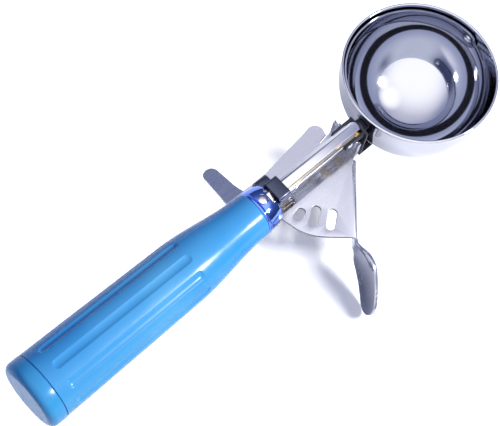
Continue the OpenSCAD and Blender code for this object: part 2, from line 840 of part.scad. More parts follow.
// Leaf of the thumb press, along the bent edge and in height
module press_leaf() {
    hull() {
        translate([press_root[0], press_root[1]])
            circle(r = press_root[2]);
        translate([press_tip[0], press_tip[1]])
            circle(r = press_tip[2]);
    }
}

module lever_bush() color("goldenrod") {
    translate([pivot_x, 0, plate_low_z])
        difference() {
            cylinder(h = plate_t, r = pin_r + bush_wall);
            translate([0, 0, -eps])
                cylinder(h = plate_t + 2 * eps, r = pin_r + run_fit);
        }
}

// ---- Bowl ----

module bowl() color("lightgray") {
    translate([bowl_x, 0, shaft_z])
        difference() {
            rotate_extrude($fn = 180)
                bowl_profile();
            translate([-bowl_r_out - eps, 0, 0])
                rotate([0, 90, 0])
                    cylinder(h = bowl_r_out / 2, r = spigot_front_r + seat);
            translate([bowl_r_out / 2, 0, 0])
                rotate([0, 90, 0])
                    cylinder(h = bowl_r_out, r = stud_r + seat);
        }
}

// Half section of the bowl: a half sphere, a straight band and a beaded rim
module bowl_profile() {
    difference() {
        union() {
            intersection() {
                circle(r = bowl_r_out);
                translate([0, -bowl_r_out])
                    square([bowl_r_out, bowl_r_out]);
            }
            square([bowl_r_out, bowl_collar_h]);
            translate([bowl_r_out - lip_r / 2, bowl_collar_h - lip_r])
                circle(r = lip_r);
        }
        intersection() {
            circle(r = bowl_r);
            translate([0, -bowl_r_out])
                square([bowl_r_out, bowl_r_out]);
        }
        translate([0, -face_gap])
            square([bowl_r, bowl_collar_h + eps + face_gap]);
    }
}

function saddle_rivet_x() = web_x0 - 10 * rivet_r;
function saddle_rivet_z() = channel_low_z + 3 * rivet_r;
saddle_ear_margin = 3 * rivet_r;                  // from the rivet to the end of an ear
saddle_ear_low = 0.5;                             // ear's lower edge above the channel's
saddle_y0 = -channel_w / 2 - 2 * sheet_t - 6 * face_gap;   // right edge of the saddle
saddle_top_z = channel_top_z - channel_bend_r;

module bowl_saddle() color("darkgray") {
    difference() {
        union() {
            // Web across the end of the shank
            block([web_x0, saddle_y0, saddle_low_z - sheet_t],
                  [web_x1, saddle_y0 + saddle_w, saddle_top_z]);
            // Lower lip, under the lever's front edge and out to the bowl
            block([web_x0 - saddle_lip, saddle_y0 + sheet_t, saddle_low_z - sheet_t],
                  [web_x0, saddle_y0 + saddle_w, saddle_low_z]);
            block([web_x1, saddle_y0, saddle_low_z - sheet_t],
                  [bowl_near_x + bowl_r_out / 4, saddle_y0 + saddle_w, saddle_low_z]);
            // Ears along the outside of the shank
            for (side = [0, 1])
                mirror([0, side, 0])
                    block([saddle_rivet_x() - saddle_ear_margin, channel_w / 2, channel_low_z + saddle_ear_low],
                          [web_x0, channel_w / 2 + sheet_t, saddle_top_z]);
        }
        rod_x(pinion_room_x0, web_x0, pinion_tip_r + 6 * face_gap);
        translate([bowl_x, 0, shaft_z])
            sphere(r = bowl_r_out + face_gap, $fn = 180);
        rod_x(web_x0 - eps, web_x1 + eps, shaft_r + 6 * face_gap);
        rivet_holes(saddle_rivet_x(), saddle_rivet_z(), channel_w);
    }
}

module saddle_rivets() color("white") {
    rivet_pair(saddle_rivet_x(), saddle_rivet_z(), channel_w / 2 + sheet_t,
               channel_w / 2 - sheet_t, 0.5);
}

module bowl_pivot_stud() color("silver") {
    translate([bowl_x, 0, shaft_z])
        rotate([0, 90, 0]) {
            translate([0, 0, blade_r_in - 0.3])
                cylinder(h = bowl_r_out - blade_r_in + 0.3, r = stud_r);
            translate([0, 0, bowl_r_out])
                domed_head(stud_r * 2, 0.7);
            translate([0, 0, blade_r_in - 0.3])
                mirror([0, 0, 1])
                    domed_head(stud_r * 2, 0.9);
        }
}

// ---- Scraper ----

spigot_front_r = shaft_r + 0.6;                   // the front bearing's spigot in the bowl

module shaft_bush_front() color("darkslategray") {
    difference() {
        union() {
            rod_x(web_x1, bowl_near_x - face_gap, front_bush_r);
            rod_x(bowl_near_x - face_gap - eps, bowl_near_x + bowl_wall, spigot_front_r);
        }
        rod_x(web_x1 - eps, bowl_near_x + bowl_wall + eps, shaft_r + run_fit);
    }
}

module shaft_bush_rear() color("goldenrod") {
    half = channel_w / 2 - sheet_t - seat;
    difference() {
        block([rear_bush_x0, -half, shaft_z - half], [rear_bush_x1, half, channel_top_z - sheet_t - seat]);
        rod_x(rear_bush_x0 - eps, rear_bush_x1 + eps, shaft_r + run_fit);
    }
}

shaft_x1 = bowl_x - blade_r_out - face_gap;

module scraper_shaft() color("silver") {
    difference() {
        rod_x(collar_x0 - 0.8, shaft_x1, shaft_r);
        rod_x(shaft_x1 - rivet_tail, shaft_x1 + eps, blade_rivet_r + seat);
    }
}

rivet_tail = 2;                                   // depth of the blade rivet in the shaft
blade_rivet_r = 0.8;

module scraper_blade() color("silver") {
    half = blade_w / 2;
    translate([bowl_x, 0, shaft_z])
        difference() {
            intersection() {
                difference() {
                    sphere(r = blade_r_out, $fn = 180);
                    sphere(r = blade_r_in, $fn = 180);
                }
                union() {
                    block([-bowl_r, 0, -half], [bowl_r, bowl_r, half]);
                    translate([-bowl_r, 0, 0])
                        rotate([0, 90, 0])
                            cylinder(h = 2 * bowl_r, r = half);
                }
            }
            translate([-bowl_r - eps, 0, 0])
                rotate([0, 90, 0])
                    cylinder(h = bowl_r, r = blade_rivet_r + seat);
            rotate([0, 90, 0])
                cylinder(h = bowl_r + eps, r = stud_r + run_fit);
        }
}

module blade_rivet() color("white") {
    head_x = bowl_x - blade_r_in + 0.1;
    rod_x(shaft_x1 - rivet_tail + face_gap, head_x, blade_rivet_r);
    translate([head_x, 0, shaft_z])
        rotate([0, 90, 0])
            domed_head(blade_rivet_r * 2.4, 0.8);
}

module pinion() color("goldenrod") {
    difference() {
        translate([pinion_x0, 0, shaft_z])
            rotate([90, 0, 90])
                linear_extrude(pinion_w)
                    rotate(180 / pinion_teeth)
                        pinion_outline();
        rod_x(pinion_x0 - eps, pinion_x1 + eps, shaft_r + seat);
    }
}

function involute(a) = tan(a) * 180 / PI - a;

// Outline of the pinion, with involute flanks above its base circle
module pinion_outline() {
    steps = 6;
    base_r = pitch_r * cos(pressure_angle);
    half = 90 / pinion_teeth - backlash / 4 / pitch_r * 180 / PI + involute(pressure_angle);
    flank = [
        for (i = [0 : steps])
            let (r = base_r + (pinion_tip_r - base_r) * i / steps)
                [r, half - involute(acos(base_r / r))]
    ];
    root = [pinion_root_r, half + 2];
    polygon([
        for (tooth = [0 : pinion_teeth - 1])
            let (middle = tooth * 360 / pinion_teeth)
                each [
                    polar(root[0], middle - root[1]),
                    each [for (p = flank) polar(p[0], middle - p[1])],
                    each [for (i = [steps : -1 : 0]) polar(flank[i][0], middle + flank[i][1])],
                    polar(root[0], middle + root[1])
                ]
    ]);
}

module shaft_collar() color("silver") {
    difference() {
        rod_x(collar_x0, collar_x1, shaft_r + 0.5);
        rod_x(collar_x0 - eps, collar_x1 + eps, shaft_r + seat);
    }
}

handle_grip();
end_cap();
ferrule();
ferrule_rivet();
shank();
tang_pin();
pivot_bracket();
bracket_rivets();
pivot_pin();
pivot_washers();
return_spring();
lever_plate();
lever_bush();
bowl();
bowl_saddle();
saddle_rivets();
shaft_bush_front();
shaft_bush_rear();
bowl_pivot_stud();
scraper_blade();
scraper_shaft();
pinion();
shaft_collar();
blade_rivet();
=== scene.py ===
"""Lever ice cream scoop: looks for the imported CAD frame. Metres, row frame."""
import json
import math

import bmesh
import bpy
from mathutils import Matrix, Vector


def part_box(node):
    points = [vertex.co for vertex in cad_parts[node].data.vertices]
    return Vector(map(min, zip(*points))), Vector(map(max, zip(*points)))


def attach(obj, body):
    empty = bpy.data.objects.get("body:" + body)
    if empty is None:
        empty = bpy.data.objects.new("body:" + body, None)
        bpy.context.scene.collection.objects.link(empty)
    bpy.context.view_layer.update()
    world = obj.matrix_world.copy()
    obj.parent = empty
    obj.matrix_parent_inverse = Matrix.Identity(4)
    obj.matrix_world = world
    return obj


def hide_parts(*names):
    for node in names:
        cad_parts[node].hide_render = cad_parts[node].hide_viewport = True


MM = 0.001
TINY = 0.0001 * MM
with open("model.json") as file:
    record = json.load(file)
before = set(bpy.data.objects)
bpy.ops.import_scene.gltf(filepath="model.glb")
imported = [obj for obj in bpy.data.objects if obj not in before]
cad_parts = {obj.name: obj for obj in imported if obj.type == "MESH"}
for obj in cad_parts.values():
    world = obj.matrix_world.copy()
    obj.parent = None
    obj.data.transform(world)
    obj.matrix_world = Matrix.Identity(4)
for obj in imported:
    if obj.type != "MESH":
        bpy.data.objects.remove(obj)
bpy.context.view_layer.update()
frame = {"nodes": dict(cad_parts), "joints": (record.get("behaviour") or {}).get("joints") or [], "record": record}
NODE = frame["nodes"]
JOINT_AT = {joint["name"]: joint["pos_m"] for joint in frame["joints"]}
MOUNT_AT = {mount["name"]: mount["pos_m"] for mount in frame["record"]["mounts"]}


def ends(node, axis):
    """Where a CAD node's box begins and ends along an axis, to the micron."""
    return [round(corner["XYZ".index(axis)], 6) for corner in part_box(node)]


HANDLE_LEN, FERRULE_X1 = ends("ferrule", "X")
CAP_LEN, NOSE_X1 = ends("handle_grip", "X")
TANG_X0, WEB_X1 = ends("shank", "X")
CHANNEL_LOW, CHANNEL_TOP = ends("shank", "Z")
CHANNEL_W = 2 * ends("shank", "Y")[1]
PLATE_LOW, PLATE_TOP = ends("lever_bush", "Z")
KNOB_X0 = ends("shaft_bush_front", "X")[0]
PIVOT_X, SHAFT_Z = JOINT_AT["lever_pivot"][0], JOINT_AT["scraper_turn"][2]
BOWL_X, RIM_Z = MOUNT_AT["bowl_rim"][0], MOUNT_AT["bowl_rim"][2]
GEAR_RATIO = frame["record"]["behaviour"]["couplings"][0]["ratio"]


# ---------------------------------------------------------------- camera

VIEW_AZ, VIEW_EL, VIEW_ROLL = math.radians(-55.61), math.radians(65.64), math.radians(14.0)
VIEW_DIST = 509.5 * MM
VIEW_TARGET = Vector((99.2 * MM, -1.0 * MM, 9.0 * MM))
SENSOR_W = 36.0
FOCAL_PX, IMAGE_W = 1458.9, 500


def make_camera():
    """Camera of the photo, from its bearing, height and roll about a target on the scoop."""
    back = Vector((math.sin(VIEW_AZ) * math.cos(VIEW_EL),
                   -math.cos(VIEW_AZ) * math.cos(VIEW_EL), math.sin(VIEW_EL)))
    right = (-back).cross(Vector((0, 0, 1))).normalized()
    up = right.cross(-back)
    c, s = math.cos(VIEW_ROLL), math.sin(VIEW_ROLL)
    x_axis, y_axis = c * right + s * up, -s * right + c * up
    turn = Matrix((x_axis, y_axis, back)).transposed().to_4x4()
    data = bpy.data.cameras.new("camera")
    data.sensor_width = SENSOR_W
    data.sensor_fit = "HORIZONTAL"
    data.lens = FOCAL_PX / IMAGE_W * SENSOR_W
    data.clip_start, data.clip_end = 0.01, 20
    cam = bpy.data.objects.new("camera", data)
    cam.matrix_world = Matrix.Translation(VIEW_TARGET + back * VIEW_DIST) @ turn
    bpy.context.scene.collection.objects.link(cam)
    bpy.context.scene.camera = cam


# ---------------------------------------------------------------- material helpers

class Tree:
    """A node tree, with short calls for the nodes that the finishes and the sky share."""

    def __init__(self, tree):
        self.tree = tree
        self.coord = self.node("TexCoord")

    def node(self, kind, **sockets):
        n = self.tree.nodes.new("ShaderNode" + kind)
        for key, value in sockets.items():
            n.inputs[key.replace("_", " ")].default_value = value
        return n

    def link(self, a, b):
        self.tree.links.new(a, b)

    def math(self, how, a, b):
        """Result of a sum on two values. Each is a number or a socket."""
        n = self.node("Math")
        n.operation = how
        for socket, value in zip(n.inputs, (a, b)):
            if isinstance(value, (int, float)):
                socket.default_value = value
            else:
                self.link(value, socket)
        return n.outputs["Value"]

    def vector_math(self, how, vector, other=(0, 0, 0), out="Value"):
        """A vector's length, its unit vector or its product with another."""
        n = self.node("VectorMath")
        n.operation = how
        n.inputs[1].default_value = other
        self.link(vector, n.inputs[0])
        return n.outputs[out]

    def spread(self, value, low, high, out_low=0.0, out_high=1.0, how="LINEAR"):
        """A value's range, spread over another range."""
        n = self.node("MapRange", From_Min=low, From_Max=high, To_Min=out_low, To_Max=out_high)
        n.interpolation_type = how
        self.link(value, n.inputs["Value"])
        return n.outputs["Result"]

    def ramp(self, value, stops):
        """Colours along a value from 0 to 1, as (position, colour) stops."""
        n = self.node("ValToRGB")
        elements = n.color_ramp.elements
        while len(elements) < len(stops):
            elements.new(0.5)
        for element, (at, rgb) in zip(elements, stops):
            element.position, element.color = at, (*rgb, 1)
        self.link(value, n.inputs["Fac"])
        return n.outputs["Color"]


class Shade(Tree):
    """A material's node tree."""

    def __init__(self, name):
        self.mat = bpy.data.materials.new(name)
        self.mat.use_nodes = True
        super().__init__(self.mat.node_tree)
        self.bsdf = self.tree.nodes["Principled BSDF"]

    def place(self, scale=(1, 1, 1), turn=(0, 0, 0), at=(0, 0, 0)):
        """Places on the object, scaled, turned and moved."""
        n = self.node("Mapping", Scale=scale, Rotation=turn, Location=at)
        self.link(self.coord.outputs["Object"], n.inputs["Vector"])
        return n.outputs["Vector"]

    def noise(self, vector, scale, detail, rough, distort=0.0):
        n = self.node("TexNoise", Scale=scale, Detail=detail, Roughness=rough, Distortion=distort)
        self.link(vector, n.inputs["Vector"])
        return n.outputs["Fac"]

    def colour(self, socket):
        self.link(socket, self.bsdf.inputs["Base Color"])

    def rough(self, socket):
        self.link(socket, self.bsdf.inputs["Roughness"])

    def bump(self, height, strength, distance):
        n = self.node("Bump", Strength=strength, Distance=distance)
        self.link(height, n.inputs["Height"])
        self.link(n.outputs["Normal"], self.bsdf.inputs["Normal"])


BRUSH_SCALE, HANDLING_SCALE, BRUSH_DEPTH = 900, 55, 0.02 * MM
MOULD_SCALE, PEEL_SCALE, RUB_SCALE, PEEL_DEPTH = 28, 750, 1800, 0.04 * MM


def steel(name, tint, rough, brush=(1, 1, 1), turn=(0, 0, 0), *, grain, dull=0.08, stain=0.06):
    """Stainless steel: brushed grain along one direction, uneven polish and faint handling marks."""
    s = Shade(name)
    s.bsdf.inputs["Metallic"].default_value = 1.0
    vec = s.place(brush, turn)
    line = s.noise(vec, BRUSH_SCALE, 4, 0.6)
    patch = s.noise(s.place(), HANDLING_SCALE, 3, 0.5, 0.4)
    s.rough(s.math("ADD", s.spread(line, 0.3, 0.7, rough - dull / 2, rough + dull / 2),
                   s.spread(patch, 0.35, 0.7, 0, dull)))
    dark = tuple(c * (1 - stain) for c in tint)
    s.colour(s.ramp(s.spread(patch, 0.3, 0.72, 0, 1), [(0.0, dark), (1.0, tint)]))
    s.bump(line, grain, BRUSH_DEPTH)
    return s.mat


def plastic(name, deep, light):
    """Glossy moulded plastic: slight depth of colour, soft orange peel and fine rubbed marks."""
    s = Shade(name)
    patch = s.noise(s.place(), MOULD_SCALE, 2, 0.5)
    s.colour(s.ramp(s.spread(patch, 0.25, 0.75, 0, 1), [(0.0, deep), (1.0, light)]))
    peel = s.noise(s.place(), PEEL_SCALE, 2, 0.5)
    rub = s.noise(s.place((0.15, 1, 1)), RUB_SCALE, 3, 0.6)
    s.rough(s.math("ADD", s.spread(rub, 0.35, 0.75, 0.16, 0.27), s.spread(patch, 0.3, 0.7, 0, 0.05)))
    s.bsdf.inputs["IOR"].default_value = 1.5
    s.bsdf.inputs["Specular IOR Level"].default_value = 0.3
    s.bump(peel, 0.12, PEEL_DEPTH)
    return s.mat


def finish(node, material):
    """Gives a CAD node that stays its material."""
    obj = NODE[node]
    for slot in obj.material_slots:
        slot.material = material
    if not obj.material_slots:
        obj.data.materials.append(material)


def make_finishes():
    """All finishes by name; the CAD nodes that stay get theirs here."""
    f = {
        "grip": plastic("grip_blue", (0.032, 0.32, 0.72), (0.095, 0.42, 0.74)),
        "cap": plastic("cap_blue", (0.040, 0.32, 0.65), (0.060, 0.385, 0.72)),
        "bright": steel("bright_steel", (0.70, 0.71, 0.76), 0.07, (1, 6, 6), grain=0.08, dull=0.05),
        "mirror": steel("mirror_steel", (0.66, 0.67, 0.73), 0.04, (1, 1, 8), grain=0.05, dull=0.04),
        "satin": steel("satin_steel", (0.80, 0.80, 0.84), 0.10, (0.06, 1, 1), grain=0.12, dull=0.05),
        "plate": steel("plate_steel", (0.66, 0.67, 0.74), 0.22, (0.08, 1, 1), (0, 0, 0.5), grain=0.16),
        "blade": steel("blade_steel", (0.40, 0.41, 0.50), 0.03, (1, 1, 8), grain=0.04, dull=0.03),
        "warm": steel("strip_steel", (0.72, 0.64, 0.50), 0.14, (0.06, 1, 1), grain=0.15),
        "dark": steel("dark_steel", (0.42, 0.43, 0.48), 0.30, (1, 0.1, 1), grain=0.4),
        # Cut sides: rougher as sheared steel, and darker partly as painted shade for the dark that thin edges
        # reflect.
        "sheared_and_shaded": steel("sheared_edge", (0.26, 0.27, 0.32), 0.38, (0.1, 0.1, 1), grain=0.5),
        # The ferrule's steel is tinted blue: a painted reflection of the blue grip in the chrome.
        "painted_reflection_chrome": steel("ferrule_chrome", (0.19, 0.33, 0.88), 0.06, (1, 6, 6), grain=0.08, dull=0.05),
        "strap": steel("strap_steel", (0.09, 0.10, 0.15), 0.32, (1, 0.1, 1), grain=0.4),
        # Near black: the knob's own dark colour, and painted shade where it is given to the saddle.
        "black_and_painted_shade": steel("black_steel", (0.05, 0.05, 0.065), 0.38, (1, 0.1, 1), grain=0.4),
        "wire": steel("wire_steel", (0.12, 0.10, 0.085), 0.42, grain=0.4, stain=0.3),
        "bronze": steel("bronze", (0.60, 0.44, 0.24), 0.30, grain=0.3),
        "brass": steel("pinion_brass", (0.70, 0.52, 0.24), 0.28, (0.1, 1, 1), grain=0.3),
    }
    kept = {"bright": ("bracket_rivets", "saddle_rivets", "blade_rivet", "bowl_pivot_stud"),
            "dark": ("tang_pin", "pivot_pin", "pivot_washers"), "bronze": ("lever_bush",)}
    for key, nodes in kept.items():
        for node in nodes:
            finish(node, f[key])
    return f


# ---------------------------------------------------------------- mesh helpers

def circle_arc(cx, cy, r, a0, a1, steps):
    """Points of an arc in a plane, angles in degrees."""
    angles = [math.radians(a0 + (a1 - a0) * i / steps) for i in range(steps + 1)]
    return [(cx + r * math.cos(a), cy + r * math.sin(a)) for a in angles]


def lathe(points, turns, shape=None):
    """Mesh turned about X from (x, r) points. A last point equal to the first closes the section."""
    bm = bmesh.new()
    rings = []
    for x, r in points:
        if rings and (x, r) == points[0]:
            rings.append(rings[0])
        elif r < TINY:
            rings.append([bm.verts.new((x, 0, 0))] * turns)
        else:
            ring = []
            for i in range(turns):
                a = 2 * math.pi * i / turns
                q = shape(x, r, a) if shape else r
                ring.append(bm.verts.new((x, -q * math.sin(a), q * math.cos(a))))
            rings.append(ring)
    for low, high in zip(rings, rings[1:]):
        for i in range(turns):
            j = (i + 1) % turns
            corners = list(dict.fromkeys((low[i], low[j], high[j], high[i])))
            if len(corners) > 2:
                bm.faces.new(corners)
    return to_mesh(bm)


def to_mesh(bm):
    """A mesh from a finished bmesh, its faces turned outwards."""
    bmesh.ops.recalc_face_normals(bm, faces=bm.faces)
    mesh = bpy.data.meshes.new("m")
    bm.to_mesh(mesh)
    bm.free()
    return mesh


def prism(outline, depth, matrix):
    """Mesh of a closed outline in XY, pushed along Z by depth, then placed by a matrix."""
    bm = bmesh.new()
    low = [bm.verts.new((x, y, 0)) for x, y in outline]
    high = [bm.verts.new((x, y, depth)) for x, y in outline]
    n = len(outline)
    bm.faces.new(low[::-1])
    bm.faces.new(high)
    for i in range(n):
        j = (i + 1) % n
        bm.faces.new((low[i], low[j], high[j], high[i]))
    mesh = to_mesh(bm)
    mesh.transform(matrix)
    return mesh


def box_mesh(low, high):
    """Box between two corners."""
    outline = [(low[0], low[1]), (high[0], low[1]), (high[0], high[1]), (low[0], high[1])]
    return prism(outline, high[2] - low[2], Matrix.Translation((0, 0, low[2])))


def evaluated(obj, helpers=()):
    """The mesh of a scratch object after its modifiers. It and its helpers are removed again."""
    scratch = [obj, *helpers]
    for o in scratch:
        bpy.context.scene.collection.objects.link(o)
    bpy.context.view_layer.update()
    graph = bpy.context.evaluated_depsgraph_get()
    out = bpy.data.meshes.new_from_object(obj.evaluated_get(graph))
    for o in scratch:
        bpy.data.objects.remove(o)
    return out


def add_bevel(obj, width, segments, angle):
    """Rounds the edges that are sharper than an angle in degrees."""
    mod = obj.modifiers.new("bevel", "BEVEL")
    mod.width, mod.segments, mod.limit_method = width, segments, "ANGLE"
    mod.angle_limit, mod.use_clamp_overlap = math.radians(angle), True


def worked(mesh, cuts=(), keep=None, bevel=0.0, angle=30):
    """The mesh after its cuts, an optional intersection and a bevel along its sharp edges."""
    obj = bpy.data.objects.new("work", mesh)
    helpers = []
    for other, how in [(c, "DIFFERENCE") for c in cuts] + ([(keep, "INTERSECT")] if keep else []):
        helper = bpy.data.objects.new("helper", other)
        helpers.append(helper)
        mod = obj.modifiers.new("cut", "BOOLEAN")
        mod.solver, mod.operation, mod.object = "EXACT", how, helper
    if bevel:
        add_bevel(obj, bevel, 2, angle)
    return evaluated(obj, helpers)


MERGE_DIST, FLAT_ANGLE = 0.002 * MM, math.radians(0.8)


def flat_faces(mesh):
    """The mesh with its doubles merged and its flat areas joined, so that only real edges are left."""
    bm = bmesh.new()
    bm.from_mesh(mesh)
    bmesh.ops.remove_doubles(bm, verts=bm.verts, dist=MERGE_DIST)
    bmesh.ops.dissolve_limit(bm, angle_limit=FLAT_ANGLE, verts=bm.verts, edges=bm.edges)
    return to_mesh(bm)


def piece(name, mesh, body, nodes, material, sharp=50):
    """A finished piece that rides on a body and stands for its CAD nodes."""
    mesh.name = name
    mesh.materials.clear()
    mesh.materials.append(material)
    for p in mesh.polygons:
        p.use_smooth = True
    mesh.set_sharp_from_angle(angle=math.radians(sharp))
    obj = bpy.data.objects.new(name, mesh)
    bpy.context.scene.collection.objects.link(obj)
    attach(obj, body)
    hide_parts(*nodes)
    return obj


def softened(node, name, body, material, bevel):
    """A CAD node's shape with the small broken edges that stamping and tumbling leave."""
    piece(name, worked(flat_faces(NODE[node].data), bevel=bevel), body, [node], material)


def sweep(points, r):
    """Round wire along a path."""
    curve = bpy.data.curves.new("wire", "CURVE")
    curve.dimensions = "3D"
    curve.bevel_depth, curve.bevel_resolution, curve.use_fill_caps = r, 4, True
    spline = curve.splines.new("POLY")
    spline.points.add(len(points) - 1)
    for p, co in zip(spline.points, points):
        p.co = (*co, 1)
    return evaluated(bpy.data.objects.new("wire", curve))


def rounded(path, r, steps=6):
    """A path of three points, its corner replaced by a small curve."""
    a, b, c = (Vector(p) for p in path)
    start, end = b + (a - b).normalized() * r, b + (c - b).normalized() * r
    curve = [start * (1 - t) ** 2 + b * 2 * t * (1 - t) + end * t ** 2
             for t in (i / steps for i in range(steps + 1))]
    return [a] + curve + [c]


# ---------------------------------------------------------------- handle

TAPER_X0 = HANDLE_LEN - 37.0 * MM
BUTT_R, GRIP_MID_R, GRIP_FRONT_R = 13.1 * MM, 12.0 * MM, 8.7 * MM
FERRULE_LEN, FERRULE_REAR_R, FERRULE_FRONT_R = FERRULE_X1 - HANDLE_LEN, 8.3 * MM, 7.4 * MM
FLUTES, FLUTE_TURN, FLUTE_R, FLUTE_DEPTH = 10, math.radians(2), 3.1 * MM, 0.55 * MM
FLUTE_X0, FLUTE_X1 = CAP_LEN + 6 * MM, TAPER_X0 + 4 * MM
NOSE_R, GRIP_EDGE = 7.0 * MM, 0.6 * MM


def grip_r(x):
    """Radius of the grip: a slight cone, then an S-shaped taper to the ferrule."""
    if x < TAPER_X0:
        return BUTT_R + (GRIP_MID_R - BUTT_R) * x / TAPER_X0
    share = (1 - math.cos(math.pi * (x - TAPER_X0) / (HANDLE_LEN - TAPER_X0))) / 2
    return GRIP_MID_R + (GRIP_FRONT_R - GRIP_MID_R) * share


def fluted(x, r, a):
    """Radius of the grip after its flutes, which end in round run-outs."""
    pitch = 2 * math.pi / FLUTES
    off = ((a - FLUTE_TURN + pitch / 2) % pitch - pitch / 2) * r
    past = max(FLUTE_X0 - x, x - FLUTE_X1, 0.0)
    inside = FLUTE_R ** 2 - off ** 2 - past ** 2
    if inside <= 0 or r < GRIP_FRONT_R or x > FLUTE_X1 + FLUTE_R:
        return r
    return r - max(math.sqrt(inside) - (FLUTE_R - FLUTE_DEPTH), 0.0)


def make_grip(material):
    """Grip with its flutes. The rings lie closest where the flutes run out."""
    run_out, lead, front = 2 * MM, 0.4 * MM, HANDLE_LEN - GRIP_EDGE
    stops = (CAP_LEN, FLUTE_X0 - run_out, FLUTE_X0 + lead, FLUTE_X1 - lead, FLUTE_X1 + run_out, front)
    xs = []
    rings = (5, 12, 24, 12, 20)
    for a, b, steps in zip(stops, stops[1:], rings):
        xs += [a + (b - a) * i / steps for i in range(steps)]
    xs.append(front)
    edge = [(front + GRIP_EDGE * math.sin(t), GRIP_FRONT_R - GRIP_EDGE * (1 - math.cos(t)))
            for t in (math.pi / 2 * i / 5 for i in range(1, 6))]
    points = [(CAP_LEN, 0.0)] + [(x, grip_r(x)) for x in xs] + edge
    points += [(HANDLE_LEN, NOSE_R), (NOSE_X1, NOSE_R), (NOSE_X1, 0.0)]
    mesh = lathe(points, turns=480, shape=fluted)
    piece("grip_body", mesh, "frame", ["handle_grip"], material)


def make_cap(material):
    """Cap with a flat end, a round edge and a seam against the grip."""
    edge_r, seam_w, seam_depth, lip, lap = 2.8 * MM, 0.5 * MM, 0.45 * MM, 0.2 * MM, 0.1 * MM
    face_r = BUTT_R - edge_r
    rim = [(edge_r - y, face_r + x) for x, y in circle_arc(0, 0, edge_r, 90, 0, 14)]
    seam_x, groove_r = CAP_LEN - seam_w, grip_r(CAP_LEN) - seam_depth
    points = [(0.0, 0.0), (0.0, 3 * MM), (0.0, face_r - 1.2 * MM)] + rim
    points += [(seam_x - lip, BUTT_R), (seam_x - lip / 4, BUTT_R - lip / 4), (seam_x, BUTT_R - lip),
               (seam_x, groove_r), (CAP_LEN + lap, groove_r), (CAP_LEN + lap, 0.0)]
    piece("cap_body", lathe(points, turns=256), "frame", ["end_cap"], material)


def ferrule_r(t):
    """Radius of the ferrule at a share of its length."""
    bulge = 0.45 * MM
    return FERRULE_REAR_R + (FERRULE_FRONT_R - FERRULE_REAR_R) * t + bulge * 4 * t * (1 - t)


def make_ferrule(material):
    """Cup with a bead at its rear, a rolled front rim and a notch for the shank's sides."""
    wall, bead_r, roll = 0.8 * MM, 0.7 * MM, 0.25 * MM
    side_start, side_end, steps = 0.21, 0.965, 24
    side = [(HANDLE_LEN + FERRULE_LEN * t, ferrule_r(t))
            for t in (side_start + (side_end - side_start) * i / steps for i in range(steps + 1))]
    bead = circle_arc(HANDLE_LEN + bead_r, FERRULE_REAR_R - bead_r / 2, bead_r, 178, 18, 14)
    rim = circle_arc(FERRULE_X1 - roll, FERRULE_FRONT_R - roll, roll, 75, -75, 8)
    inner = [(HANDLE_LEN + FERRULE_LEN * t, ferrule_r(t) - wall)
             for t in (0.96, 0.8, 0.6, 0.4, 0.2, 0.02)]
    points = bead + side + rim + inner
    points.append(points[0])
    half, depth, low, high = CHANNEL_W / 2 + 0.02 * MM, 1.6 * MM, 2 * MM, 9 * MM
    notch = box_mesh((FERRULE_X1 - depth, -half, low), (FERRULE_X1 + MM, half, high))
    mesh = worked(lathe(points, turns=160), [notch])
    piece("ferrule_cup", mesh, "frame", ["ferrule"], material, sharp=40)


def dome(r, h, collar, steps=12):
    """Section of a rivet's head about X: a low dome over a thin upright edge."""
    ball = (r * r + (h - collar) ** 2) / (2 * (h - collar))
    top = [(h - ball + math.sqrt(ball * ball - q * q), q)
           for q in (r * i / steps for i in range(steps, -1, -1))]
    return [(0.0, 0.0), (0.0, r * 0.98), (collar * 0.5, r)] + top


def make_ferrule_rivet(material):
    """Rivet's head on the ferrule's top, square to its slope."""
    at, head_r, head_h, collar, seat = 3.6 * MM, 2.0 * MM, 0.9 * MM, 0.2 * MM, 0.05 * MM
    tilt = math.atan((FERRULE_REAR_R - FERRULE_FRONT_R) / FERRULE_LEN)
    mesh = lathe(dome(head_r, head_h, collar), turns=64)
    up = Matrix.Rotation(-math.pi / 2 + tilt, 4, "Y")
    mesh.transform(Matrix.Translation((HANDLE_LEN + at, 0, ferrule_r(at / FERRULE_LEN) + seat)) @ up)
    piece("ferrule_rivet_head", mesh, "frame", ["ferrule_rivet"], material)


# ---------------------------------------------------------------- shank

SHEET, CREASE_Y, WALL_X1 = 0.9 * MM, -1.9 * MM, 150.4 * MM


